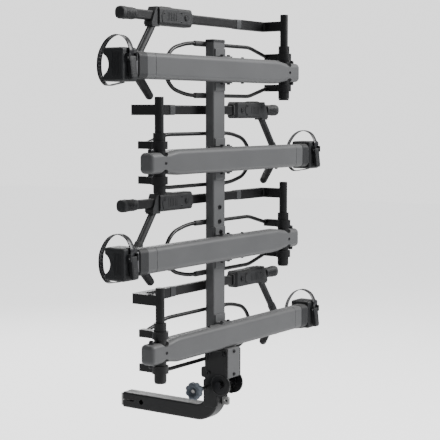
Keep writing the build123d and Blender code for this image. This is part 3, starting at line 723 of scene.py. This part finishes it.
class BIKERACK_OT_fasteners(RackPiece, bpy.types.Operator):
    """Socket screws on the beams, spine and hinges"""

    bl_idname = "bike_rack.fasteners"
    bl_label = "Fit the screws"

    # On each beam: u, v, w, the way the head faces, radius and height.
    BEAM_SCREWS = ((90, 0, 37, UP, 5.0, 4.0), (90, 0, -37, DOWN, 5.0, 4.0),
                   (-290, 0, -37, DOWN, 5.0, 4.0), (379, -2, 30, UP, 7.5, 10.0),
                   (379, -2, -30, DOWN, 7.5, 10.0), (335, -24, 0, REAR, 5.0, 1.6))
    # On each tab, from the beam's centre.
    TAB_X, TAB_Y, TAB_Z = 17, 3, 41
    # On the spine: height, and how far the seat stands off the rear face.
    SPINE_BOLTS = ((571, 4.0), (603, 0.0), (647, 0.0))

    def execute(self, context):
        spots = []
        for tray in TRAYS:
            for u, v, w, facing, radius, height in self.BEAM_SCREWS:
                spots.append(screw(on_tray(tray, u, v, w), facing, radius, height))
            beam_y, beam_z = CENTRES[tray]
            for side in tab_sides(tray):
                for x in (-self.TAB_X, self.TAB_X):
                    place = Vector((x * MM, beam_y + self.TAB_Y * MM, beam_z + side * self.TAB_Z * MM))
                    spots.append(screw(place, (0, 0, side), 5.5, 4.5))
        for z, seat in self.SPINE_BOLTS:
            spots.append(screw(Vector((0, SPINE_REAR - seat, z)) * MM, REAR, 7.0, 4.0))
        scattered("screw_heads", "screw", spots, "black_oxide", "rack",
                  replaces=["screws"])
        return {"FINISHED"}


class BIKERACK_OT_welds(RackPiece, bpy.types.Operator):
    """Weld beads at the beam tabs, the pivot ears and the lock eye"""

    bl_idname = "bike_rack.welds"
    bl_label = "Lay the welds"

    RIPPLE_SHARE = 0.85  # half a ripple's length, as a share of the pitch
    TAB_HALF, TAB_ROOT, TAB_TIP = 26, 39, 62  # half width, and both ends from the beam's centre
    EAR_X, EYE_X = 26.5, 4  # either way from the middle

    def bead(self, start, end, radius):
        """Ripples from start to end, in millimetres."""
        pitch = bpy.context.scene.rack_sizes.weld_pitch
        start, end = Vector(start) * MM, Vector(end) * MM
        steps = max(2, int((end - start).length / pitch))
        turn = turn_to(end - start)
        return [(start.lerp(end, step / steps), turn,
                 (radius * MM, radius * MM, pitch * self.RIPPLE_SHARE)) for step in range(steps + 1)]

    def execute(self, context):
        grey, black = [], []
        side_y, end_y = SPINE_REAR + 0.3, SPINE_REAR - 1
        for tray in TRAYS:
            z = CENTRES[tray][1] / MM
            for side in tab_sides(tray):
                for x in (-self.TAB_HALF, self.TAB_HALF):
                    grey += self.bead((x, side_y, z + side * self.TAB_ROOT),
                                      (x, side_y, z + side * self.TAB_TIP), 2.2)
                tip = z + side * (self.TAB_TIP + 1)
                grey += self.bead((-self.TAB_HALF, end_y, tip), (self.TAB_HALF, end_y, tip), 2.0)
        for x in (-self.EAR_X, self.EAR_X):
            for y in (-301.4, -252.6):
                black += self.bead((x, y, 30), (x, y, 62), 2.2)
            black += self.bead((x, -296, 24), (x, -258, 24), 2.2)
        for x in (-self.EYE_X, self.EYE_X):
            black += self.bead((x, -302.4, 32), (x, -302.4, 56), 1.8)
        scattered("tab_welds", "bead", grey, "powder_grey", "rack", sharp=80.0)
        scattered("ear_welds", "bead", black, "powder_black", "hitch", sharp=80.0)
        return {"FINISHED"}


class BIKERACK_OT_pivot_dress(RackPiece, bpy.types.Operator):
    """Boss rings, stiffening ribs and bolts on the fold pivot's cheeks and latch housing"""

    bl_idname = "bike_rack.pivot_dress"
    bl_label = "Dress the fold pivot"

    def execute(self, context):
        face = -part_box("pivot_cheeks")[0].x
        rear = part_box("latch_housing")[0].y
        rings, ribs, bolts = [], [], []
        for side in (-1, 1):
            def on_cheek(y, z, side=side):
                return Vector((side * face, y * MM, z * MM))
            rings.append(spot(on_cheek(*FOLD_AXLE), (0, 0, 0), (16, 31.5, 31.5)))
            for y in (-341, -268):
                ribs.append(spot(on_cheek(y, 170), (0, QUARTER_TURN, 0), (66, 2.0, 1.6)))
            ribs.append(spot(on_cheek(-305, 206), (0, 0, QUARTER_TURN), (66, 1.6, 2.0)))
            for y, z in ((-333, 197), (-278, 197), (-276, 134)):
                bolts.append(screw(on_cheek(y, z), (side, 0, 0), 6.2, 4.5))
        for z in (203, 132):
            bolts.append(screw(Vector((0, rear, z * MM)), REAR, 5.5, 3.5))
        scattered("pivot_rings", "ring", rings, "powder_black", "rack",
                  inputs=(("Wire Share", 0.06),), sharp=70.0)
        scattered("pivot_ribs", "rib", ribs, "powder_black", "rack")
        scattered("pivot_bolts", "screw", bolts, "black_oxide", "rack")
        return {"FINISHED"}


class BIKERACK_OT_straps(RackPiece, bpy.types.Operator):
    """Ratchet straps with teeth, in place of the plain bands"""

    bl_idname = "bike_rack.straps"
    bl_label = "Thread the straps"

    ROUTE = ((-28.5, 24), (-28, 44), (-10, 72), (24, 81), (58, 64), (82, 24), (82, -24), (60, -54),
             (24, -52), (2, -48))

    def execute(self, context):
        sizes = context.scene.rack_sizes
        half = sizes.strap_width / 2
        # In metres: flat inside, with a raised rim along both edges of the toothed face.
        section = [(-half, -0.0006), (-half + 0.0012, -0.0013), (half - 0.0012, -0.0013),
                   (half, -0.0006), (half, 0.0010), (half - 0.002, 0.0013), (half - 0.003, 0.0006),
                   (-half + 0.003, 0.0006), (-half + 0.002, 0.0013), (-half, 0.0010)]
        across = Vector((1, 0, 0))
        for tray in TRAYS:
            slider = f"slider_{tray}"
            path = smooth_path([on_tray(tray, CRADLE_U, v, w) for v, w in self.ROUTE], 10)
            new_piece(f"strap_band_{tray}", swept(path, section, across), "strap_plastic", slider,
                      replaces=[f"strap_{tray}"])
            teeth, walked = [], 0.0
            for before, after in zip(path, path[1:]):
                walked += (after - before).length
                if walked < sizes.strap_pitch:
                    continue
                walked = 0.0
                direction = (after - before).normalized()
                out = direction.cross(across).normalized()
                lean = math.atan2(direction.z, direction.y)
                teeth.append(spot(after + out * 0.0008, (lean, 0, 0), (12.6, 1.3, 0.8)))
            scattered(f"strap_teeth_{tray}", "rib", teeth, "strap_plastic", slider)
        return {"FINISHED"}


class BIKERACK_OT_buckles(RackPiece, bpy.types.Operator):
    """Ratchet buckle levers with finger ridges and a steel pin"""

    bl_idname = "bike_rack.buckles"
    bl_label = "Fit the buckles"

    PIN = (-31.0, 18.0)
    RIDGES = 6

    def execute(self, context):
        v0, w0 = self.PIN
        lever = [(v0 - 4, w0 + 5), (v0 + 5, w0 + 4), (v0 + 5.5, w0 - 10), (v0 + 2, w0 - 54),
                 (v0 - 7, w0 - 60), (v0 - 10, w0 - 54), (v0 - 5.5, w0 - 14)]
        web = [(v - (0.5 if v < v0 else 1.5), w) for v, w in lever]
        for tray in TRAYS:
            body = f"buckle_body_{tray}"

            def place(v, w, u, tray=tray):
                return on_tray(tray, CRADLE_U + u, v, w)
            parts = [slab(soft_corners(lever, 3.0), side, place, 0.8)
                     for side in ((-12.5, -9.0), (9.0, 12.5))]
            parts.append(slab(soft_corners(web, 2.5), (-9.2, 9.2), place, 0.3))
            new_piece(f"buckle_lever_{tray}", merged(*parts), "plastic_black", body,
                      replaces=[f"buckle_{tray}"])
            ridges = []
            for step in range(self.RIDGES):
                share = 0.35 + 0.11 * step
                ridges.append(spot(place(v0 - 5.5 - 4.5 * share, w0 - 14 - 40 * share, 0), (0, 0, 0),
                                   (17, 1.1, 1.1)))
            scattered(f"buckle_ridges_{tray}", "rib", ridges, "plastic_black", body)
            pin = [place(v0, w0, u) for u in (-17.5, -17, 17, 17.5)]
            new_piece(f"buckle_pin_{tray}", tube(pin, (0.0024, 0.003, 0.003, 0.0024), Y_AXIS),
                      "zinc_plated", body)
        return {"FINISHED"}


class BIKERACK_OT_cradle_pads(RackPiece, bpy.types.Operator):
    """Ribbed rubber pads in the wheel cradles, and ribs on their outer ends"""

    bl_idname = "bike_rack.cradle_pads"
    bl_label = "Line the cradles"

    PAD_STATIONS = ((-526, 0.8), (-524, 0.0), (-466, 0.0), (-464, 0.8))  # u, and what thins its face
    PAD_REACH, PAD_STEPS = 64, 24  # degrees either way from the trough's floor
    TREAD_REACH, TREAD_RIBS = 55, 11
    END_RIBS = 7

    def on_trough(self, tray, u, radius, degrees):
        """A point at an angle from the trough's floor."""
        turn = math.radians(degrees)
        return on_tray(tray, u, TROUGH_V - radius * math.cos(turn), radius * math.sin(turn))

    def execute(self, context):
        sweep = [-self.PAD_REACH + 2 * self.PAD_REACH * step / self.PAD_STEPS
                 for step in range(self.PAD_STEPS + 1)]
        for tray in TRAYS:
            slider = f"slider_{tray}"
            pad = []
            for u, lip in self.PAD_STATIONS:
                pad.append([self.on_trough(tray, u, PAD_BACK, degrees) for degrees in sweep]
                           + [self.on_trough(tray, u, PAD_FACE + lip, degrees)
                              for degrees in reversed(sweep)])
            new_piece(f"cradle_pad_{tray}", loft(pad), "rubber_black", slider)
            tread = []
            for step in range(self.TREAD_RIBS):
                degrees = -self.TREAD_REACH + 11 * step
                tread.append(spot(self.on_trough(tray, CRADLE_U, PAD_FACE, degrees), (0, 0, 0),
                                  (54, 1.3, 1.3)))
            scattered(f"cradle_tread_{tray}", "rib", tread, "rubber_black", slider)
            ends = []
            for step in range(self.END_RIBS):
                length = 64 if step < self.END_RIBS - 1 else 20
                ends.append(spot(on_tray(tray, CRADLE_END, -16 + 5.2 * step, 0), (0, QUARTER_TURN, 0),
                                 (length, 1.1, 1.2)))
            scattered(f"cradle_ribs_{tray}", "rib", ends, "plastic_black", slider)
        return {"FINISHED"}


class BIKERACK_OT_grips(RackPiece, bpy.types.Operator):
    """Flared hand grips with raised rings on the arm ends"""

    bl_idname = "bike_rack.grips"
    bl_label = "Push on the grips"

    PROFILE = ((-345.6, 14.6), (-346.4, 15.8), (-350, 16.4), (-358, 16.0), (-372, 15.8),
               (-386, 16.6), (-398, 17.8), (-405, 18.4), (-410, 17.2), (-411.8, 14.0), (-412.2, 8.0))
    FIRST_RING, RING_STEP = -356, 7.2

    def radius_at(self, u):
        """The grip's radius at a place along the arm."""
        for (u0, r0), (u1, r1) in zip(self.PROFILE, self.PROFILE[1:]):
            if u1 <= u <= u0:
                return r0 + (r1 - r0) * (u - u0) / (u1 - u0)
        return self.PROFILE[-1][1]

    def execute(self, context):
        for tray in TRAYS:
            body = f"arm_body_{tray}"
            grip = [tray_ring(tray, u, ARM_V, ARM_W, rounded_ring(radius * 0.94, radius, 2.5, 48))
                    for u, radius in self.PROFILE]
            new_piece(f"grip_moulding_{tray}", loft(grip), "plastic_dark", body,
                      sharp=50.0, replaces=[f"grip_{tray}"])
            rings = []
            for step in range(context.scene.rack_sizes.grip_ribs):
                u = self.FIRST_RING - self.RING_STEP * step
                radius = self.radius_at(u)
                rings.append(spot(on_tray(tray, u, ARM_V, ARM_W), (0, 0, 0),
                                  (12, radius * 0.96, radius * 1.02)))
            scattered(f"grip_rings_{tray}", "ring", rings, "rubber_black", body,
                      inputs=(("Wire Share", 0.07),), sharp=70.0)
        return {"FINISHED"}


class BIKERACK_OT_heads(RackPiece, bpy.types.Operator):
    """Covers, finger ribs, collar and button ring of the ratchet heads"""

    bl_idname = "bike_rack.heads"
    bl_label = "Dress the ratchet heads"

    COVER = ((-70, -19), (24, -19), (32, -8), (32, 8), (24, 19), (-56, 19), (-74, 4))
    COVER_LEVELS = ((59.4, 61.2), (100.8, 102.6))  # v of the rear and the front cover
    RIB_LEVELS = (59.6, 102.4)
    LEVER = ((-66, 26.0), (-60, 28.2), (-18, 28.6), (-8, 26.0))
    COLLAR = ((82.0, 2.2), (83.0, 3.4), (88.5, 3.4), (89.5, 2.4))  # along the arm, and thickness
    SCREWS = ((-62, 8), (22, -13), (22, 13))

    def execute(self, context):
        for tray in TRAYS:
            body = f"head_body_{tray}"

            def on_head(u, w, v, tray=tray, centre=head_centre(tray)):
                return on_tray(tray, centre + u, v, ARM_W + w)

            def on_bar(u, w, v, on_head=on_head):
                return on_head(u, w, ARM_V + v)
            parts = [slab(soft_corners(self.COVER, 6), levels, on_head, 0.7)
                     for levels in self.COVER_LEVELS]
            parts.append(slab(soft_corners(self.LEVER, 3), (-11, 11), on_bar, 1.2))
            new_piece(f"head_covers_{tray}", merged(*parts), "plastic_dark", body)
            ribs = [spot(on_head(-58 + 6.5 * step, 28.2, ARM_V), (0, 0, QUARTER_TURN), (19, 1.4, 0.8))
                    for step in range(7)]
            ribs += [spot(on_head(-44 + 8 * step, 0, level), (0, QUARTER_TURN, 0), (26, 1.2, 1.2))
                     for level in self.RIB_LEVELS for step in range(6)]
            scattered(f"head_ribs_{tray}", "rib", ribs, "rubber_black", body)
            rings = [spot(on_head(BUTTON_STEP, 0, 60.6), (0, 0, QUARTER_TURN), (10, 8.8, 8.8))]
            scattered(f"button_ring_{tray}", "ring", rings, "plastic_black", body,
                      inputs=(("Wire Share", 0.14),), sharp=70.0)
            outside = [(u, rounded_ring(10.6 + grow, 14.6 + grow, 5.0, 40)) for u, grow in self.COLLAR]
            inside = [(u, rounded_ring(10.5, 14.5, 7.0, 40)) for u in (89.5, 82.0)]
            collar = [[on_head(u, b, ARM_V + a) for a, b in section] for u, section in outside + inside]
            new_piece(f"head_collar_{tray}", loft(collar, closed=True), "rubber_black", body,
                      sharp=40.0)
            screws = [screw(on_head(u, w, self.COVER_LEVELS[0][0]), REAR, 3.2, 1.2)
                      for u, w in self.SCREWS]
            scattered(f"head_screws_{tray}", "screw", screws, "black_oxide", body)
        return {"FINISHED"}


class BIKERACK_OT_hooks(RackPiece, bpy.types.Operator):
    """Flanges down the hooks, and rubber sleeves with gripping rings where the tyre sits"""

    bl_idname = "bike_rack.hooks"
    bl_label = "Sleeve the hooks"

    SHANK = ((-96, 119), (-120, 87.6), (-145, 54.9))
    BEND = ((-160, 35), (-171.5, 20.3), (-178.0, 7.0), (-175.8, -8.5), (-167, -20.5),
            (-137.5, -50.8), (-108, -81))
    RADIUS = 11.8
    WIDEN = 2.4  # how much wider the sleeve is where it meets the flange
    TAPER = 12  # path points over which that width runs out at the tip
    FLANGE_SHORT = 4  # path points between the flange's end and the bend's
    RINGED = slice(10, 34, 2)  # path points that carry a ring

    def execute(self, context):
        for tray in TRAYS:
            body = f"head_body_{tray}"

            def on_hook(u, w, tray=tray, centre=head_centre(tray)):
                return on_tray(tray, centre + u, ARM_V, w)
            bend = smooth_path([on_hook(u, w) for u, w in self.BEND], 8)
            flange = [*(on_hook(u, w) for u, w in self.SHANK), *bend[:-self.FLANGE_SHORT]]
            new_piece(f"hook_flange_{tray}",
                      swept(flange, scaled(rounded_ring(5.0, 13.6, 3.6, 28), MM), Y_AXIS),
                      "hook_coat", body, sharp=50.0)
            tip = (bend[-1] - bend[-2]).normalized()
            path = [bend[0] - (bend[1] - bend[0]).normalized() * 0.002, *bend]
            shares = [0.955] + [1.0] * len(bend)
            for step in range(1, 6):
                turn = math.radians(17 * step)
                path.append(bend[-1] + tip * (self.RADIUS * MM * math.sin(turn)))
                shares.append(math.cos(turn))
            sleeve = []
            for index, ((point, direction), share) in enumerate(zip(path_frames(path), shares)):
                wide = self.RADIUS + self.WIDEN * min(1.0, max(0.0, (len(bend) - index) / self.TAPER))
                section = scaled(rounded_ring(self.RADIUS, wide, 2.2, 28), share * MM)
                sleeve.append(ring_at(point, direction, Y_AXIS, section))
            new_piece(f"hook_sleeve_{tray}", loft(sleeve), "rubber_black", body,
                      sharp=60.0)
            rings = []
            for point, direction in path_frames(bend)[self.RINGED]:
                lean = -math.atan2(direction.z, direction.x)
                rings.append(spot(point, (0, lean, 0), (10, 10.8, 13.6)))
            scattered(f"hook_rings_{tray}", "ring", rings, "rubber_black", body,
                      inputs=(("Wire Share", 0.08), ("Sides", 28)), sharp=70.0)
        return {"FINISHED"}


class BIKERACK_OT_hoop_sleeves(RackPiece, bpy.types.Operator):
    """Soft sleeves on the straight runs of the wheel hoops"""

    bl_idname = "bike_rack.hoop_sleeves"
    bl_label = "Sleeve the hoops"

    STATIONS = ((-80, 0.90), (-79, 0.96), (-76, 1.0), (-6, 1.0), (-3, 0.96), (-2, 0.90))
    DROP = 0.9  # how far the sleeve's middle sits from the wire's, towards the beam

    def execute(self, context):
        for tray in TRAYS:
            parts = []
            for side in (-1, 1):
                parts.append(loft([
                    tray_ring(tray, u, HOOP_V - self.DROP, side * HOOP_HALF,
                              scaled(rounded_ring(7.0, 8.6, 2, 24), share))
                    for u, share in self.STATIONS]))
            new_piece(f"hoop_sleeves_{tray}", merged(*parts), "rubber_black", "rack",
                      sharp=60.0)
        return {"FINISHED"}


class BIKERACK_OT_arm_bands(RackPiece, bpy.types.Operator):
    """Raised end bands where each arm's bar leaves its elbow; their pale colour is a painted highlight
    """

    bl_idname = "bike_rack.arm_bands"
    bl_label = "Band the arms"

    STATIONS = ((164, 0.05), (164.6, 1.3), (189.4, 1.5), (189.9, 0.05))  # u, and how thick it is

    def execute(self, context):
        for tray in TRAYS:
            band = [tray_ring(tray, u, ARM_V, ARM_W, rounded_ring(10.0 + grow, 14.0 + grow, 6.0, 48))
                    for u, grow in self.STATIONS]
            new_piece(f"arm_band_{tray}", loft(band), "band_plastic_painted_highlight", f"arm_body_{tray}")
        return {"FINISHED"}


class BIKERACK_OT_knob(RackPiece, bpy.types.Operator):
    """Lobed tightening knob with a dished face, and its stud"""

    bl_idname = "bike_rack.knob"
    bl_label = "Fit the knob"

    # x, radius, and how deep the dips between the lobes are there.
    PROFILE = ((-92.5, 4.0, 0.0), (-93.0, 9.0, 0.0), (-94.5, 12.5, 0.0), (-99.5, 15.0, 0.0),
               (-102.8, 17.5, 0.4), (-104.0, 20.5, 0.8), (-103.2, 24.0, 1.0), (-100.5, 26.8, 1.0),
               (-96.0, 27.9, 1.0), (-88.0, 28.0, 1.0), (-83.0, 27.2, 1.0), (-80.0, 25.0, 1.0),
               (-78.4, 21.0, 0.7), (-77.6, 15.0, 0.2), (-74.0, 12.4, 0.0), (-66.0, 11.2, 0.0),
               (-57.0, 10.8, 0.0), (-56.0, 9.6, 0.0))
    # The screw in the knob's face and the stud: x and radius.
    METAL = (((-98.0, 3.0), (-98.4, 5.2), (-97.2, 6.4), (-92.0, 6.6)),
             ((-57.0, 6.0), (-9.0, 6.0), (-8.0, 5.0)))
    CENTRE = (-260.0, 84.0)
    DIP_DEPTH, DIP_POWER = 3.4, 1.6
    SIDES = 128

    def ring(self, x, radius, lobing, lobes):
        """One ring of the knob, with a dip between each two lobes."""
        y0, z0 = self.CENTRE
        points = []
        for step in range(self.SIDES):
            turn = 2 * math.pi * step / self.SIDES
            dip = lobing * self.DIP_DEPTH * (0.5 + 0.5 * math.cos(lobes * turn)) ** self.DIP_POWER
            reach = radius - dip
            points.append(Vector((x, y0 + reach * math.cos(turn), z0 + reach * math.sin(turn))) * MM)
        return points

    def execute(self, context):
        lobes = context.scene.rack_sizes.knob_lobes
        knob = [self.ring(x, radius, lobing, lobes) for x, radius, lobing in self.PROFILE]
        new_piece("knob_moulding", loft(knob), "knob_plastic", "knob", sharp=50.0,
                  replaces=["tightening_knob"])
        metal = [tube([Vector((x, *self.CENTRE)) * MM for x, _ in stretch],
                      [radius * MM for _, radius in stretch], Y_AXIS, 28) for stretch in self.METAL]
        new_piece("knob_stud", merged(*metal), "zinc_plated", "knob")
        return {"FINISHED"}


class BIKERACK_OT_lever_grip(RackPiece, bpy.types.Operator):
    """Moulded finger grip on the tilt lever"""

    bl_idname = "bike_rack.lever_grip"
    bl_label = "Mould the lever's grip"

    ROUTE = ((0.0585, 0.134), (0.0620, 0.150), (0.0662, 0.166), (0.0688, 0.180))  # X and Z
    HALF_WIDE, HALF_THICK = 0.0098, 0.0078
    RINGED = slice(4, 16, 2)  # path points that carry a ring

    def execute(self, context):
        low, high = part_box("tilt_lever")
        middle = (low.y + high.y) / 2
        frames = path_frames(smooth_path([Vector((x, middle, z)) for x, z in self.ROUTE], 6))
        grip = []
        for index, (point, direction) in enumerate(frames):
            share = index / (len(frames) - 1)
            grow = 0.75 + 0.3 * math.sin(math.pi * share) + 0.12 * share
            if index == len(frames) - 1:
                grow *= 0.8
            section = rounded_ring(self.HALF_WIDE * grow, self.HALF_THICK * grow, 3.0, 32)
            grip.append(ring_at(point, direction, Y_AXIS, section))
        new_piece("lever_moulding", loft(grip), "plastic_black", "lever", sharp=50.0)
        rings = []
        for point, direction in frames[self.RINGED]:
            lean = -math.atan2(direction.z, direction.x)
            rings.append(spot(point, (0, lean, 0), (10, 9.8, 8.2)))
        scattered("lever_rings", "ring", rings, "rubber_black", "lever",
                  inputs=(("Wire Share", 0.10), ("Sides", 28)), sharp=70.0)
        return {"FINISHED"}


class BIKERACK_OT_stage(RackPiece, bpy.types.Operator):
    """Pale floor, soft lights and the camera"""

    bl_idname = "bike_rack.stage"
    bl_label = "Set the stage"

    FLOOR_Z, FLOOR_REACH, FLOOR_GLOW = -0.45, 14.0, 1.5
    ROOM_LIGHT, ROOM_SEEN = 0.22, 1.75  # strength that lights the rack, and that the camera sees
    AIM = Vector((0.02, -0.28, 0.605))
    # Name, place, size and power.
    LIGHTS = (("key", (2.2, -3.4, 3.2), 2.2, 210.0), ("top", (0.6, 0.4, 4.6), 3.0, 120.0),
              ("back", (2.6, 3.0, 2.2), 2.0, 70.0))
    CAMERA_PLACE = (-3.092, -2.424, 0.938)
    CAMERA_LENS, CAMERA_FILM = 100.0, 36.0

    def face(self, thing, place):
        """Put a light or the camera at its place, turned to the rack."""
        thing.location = place
        thing.rotation_euler = (self.AIM - Vector(place)).to_track_quat("-Z", "Y").to_euler()
        bpy.context.scene.collection.objects.link(thing)

    def floor(self):
        """A wide pale plane that also glows a little for the camera."""
        reach = self.FLOOR_REACH
        corners = ((-reach, -reach), (reach, -reach), (reach, reach), (-reach, reach))
        mesh = bpy.data.meshes.new("floor")
        mesh.from_pydata([(x, y, self.FLOOR_Z) for x, y in corners], [], [(0, 1, 2, 3)])
        floor = bpy.data.objects.new("floor", mesh)
        bpy.context.scene.collection.objects.link(floor)
        paint = bpy.data.materials.new("floor_pale")
        paint.use_nodes = True
        tree = paint.node_tree
        shader = tree.nodes["Principled BSDF"]
        shader.inputs["Base Color"].default_value = (0.88, 0.88, 0.88, 1.0)
        shader.inputs["Roughness"].default_value = 0.9
        shader.inputs["Emission Color"].default_value = (1.0, 1.0, 1.0, 1.0)
        seen = add_node(tree, "ShaderNodeLightPath")
        glow = math_node(tree, "MULTIPLY", seen.outputs["Is Camera Ray"], self.FLOOR_GLOW)
        tree.links.new(glow, shader.inputs["Emission Strength"])
        mesh.materials.append(paint)
        floor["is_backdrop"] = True

    def room(self):
        """Soft light all round, behind a brighter background for the camera."""
        world = bpy.data.worlds.new("soft_room")
        world.use_nodes = True
        tree = world.node_tree
        soft = tree.nodes["Background"]
        soft.inputs["Color"].default_value = (0.93, 0.95, 0.98, 1.0)
        soft.inputs["Strength"].default_value = self.ROOM_LIGHT
        pale = add_node(tree, "ShaderNodeBackground",
                        (("Color", (1.0, 1.0, 1.0, 1.0)), ("Strength", self.ROOM_SEEN)))
        seen = add_node(tree, "ShaderNodeLightPath")
        both = add_node(tree, "ShaderNodeMixShader",
                        ((0, seen.outputs["Is Camera Ray"]), (1, soft.outputs[0]),
                         (2, pale.outputs[0])))
        tree.links.new(both.outputs[0], tree.nodes["World Output"].inputs["Surface"])
        bpy.context.scene.world = world

    def execute(self, context):
        self.floor()
        self.room()
        for name, place, size, power in self.LIGHTS:
            light = bpy.data.lights.new(name, "AREA")
            light.size = size
            light.energy = power
            self.face(bpy.data.objects.new(name, light), place)
        camera = bpy.data.objects.new("camera", bpy.data.cameras.new("camera"))
        camera.data.sensor_width = self.CAMERA_FILM
        camera.data.lens = self.CAMERA_LENS
        self.face(camera, self.CAMERA_PLACE)
        context.scene.camera = camera
        return {"FINISHED"}


# ---------------------------------------------------------------- panel and start
PIECES = (BIKERACK_OT_finishes, BIKERACK_OT_fasteners, BIKERACK_OT_welds, BIKERACK_OT_pivot_dress,
          BIKERACK_OT_straps, BIKERACK_OT_buckles, BIKERACK_OT_cradle_pads, BIKERACK_OT_grips,
          BIKERACK_OT_heads, BIKERACK_OT_hooks, BIKERACK_OT_hoop_sleeves, BIKERACK_OT_arm_bands,
          BIKERACK_OT_knob, BIKERACK_OT_lever_grip, BIKERACK_OT_stage)


class BIKERACK_PT_panel(bpy.types.Panel):
    """Sidebar panel that lists the rack's settings and pieces"""

    bl_idname = "BIKERACK_PT_panel"
    bl_label = "Bike Rack"
    bl_space_type = "VIEW_3D"
    bl_region_type = "UI"
    bl_category = "Bike Rack"

    def draw(self, context):
        for settings in (context.scene.rack_finishes, context.scene.rack_sizes):
            for name in settings.__annotations__:
                self.layout.prop(settings, name)
        for piece in PIECES:
            self.layout.operator(piece.bl_idname)


CLASSES = (RackFinishes, RackSizes, *PIECES, BIKERACK_PT_panel)


def register():
    for item in CLASSES:
        bpy.utils.register_class(item)
    bpy.types.Scene.rack_finishes = bpy.props.PointerProperty(type=RackFinishes)
    bpy.types.Scene.rack_sizes = bpy.props.PointerProperty(type=RackSizes)


def unregister():
    del bpy.types.Scene.rack_sizes
    del bpy.types.Scene.rack_finishes
    for item in reversed(CLASSES):
        bpy.utils.unregister_class(item)


def main():
    register()
    for piece in PIECES:
        group, name = piece.bl_idname.split(".")
        getattr(getattr(bpy.ops, group), name)()
    boxes = {"cad": CAD_BOX, "visual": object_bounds()}
    {key: [list(low), list(high)] for key, (low, high) in boxes.items()}


if __name__ == "__main__":
    main()
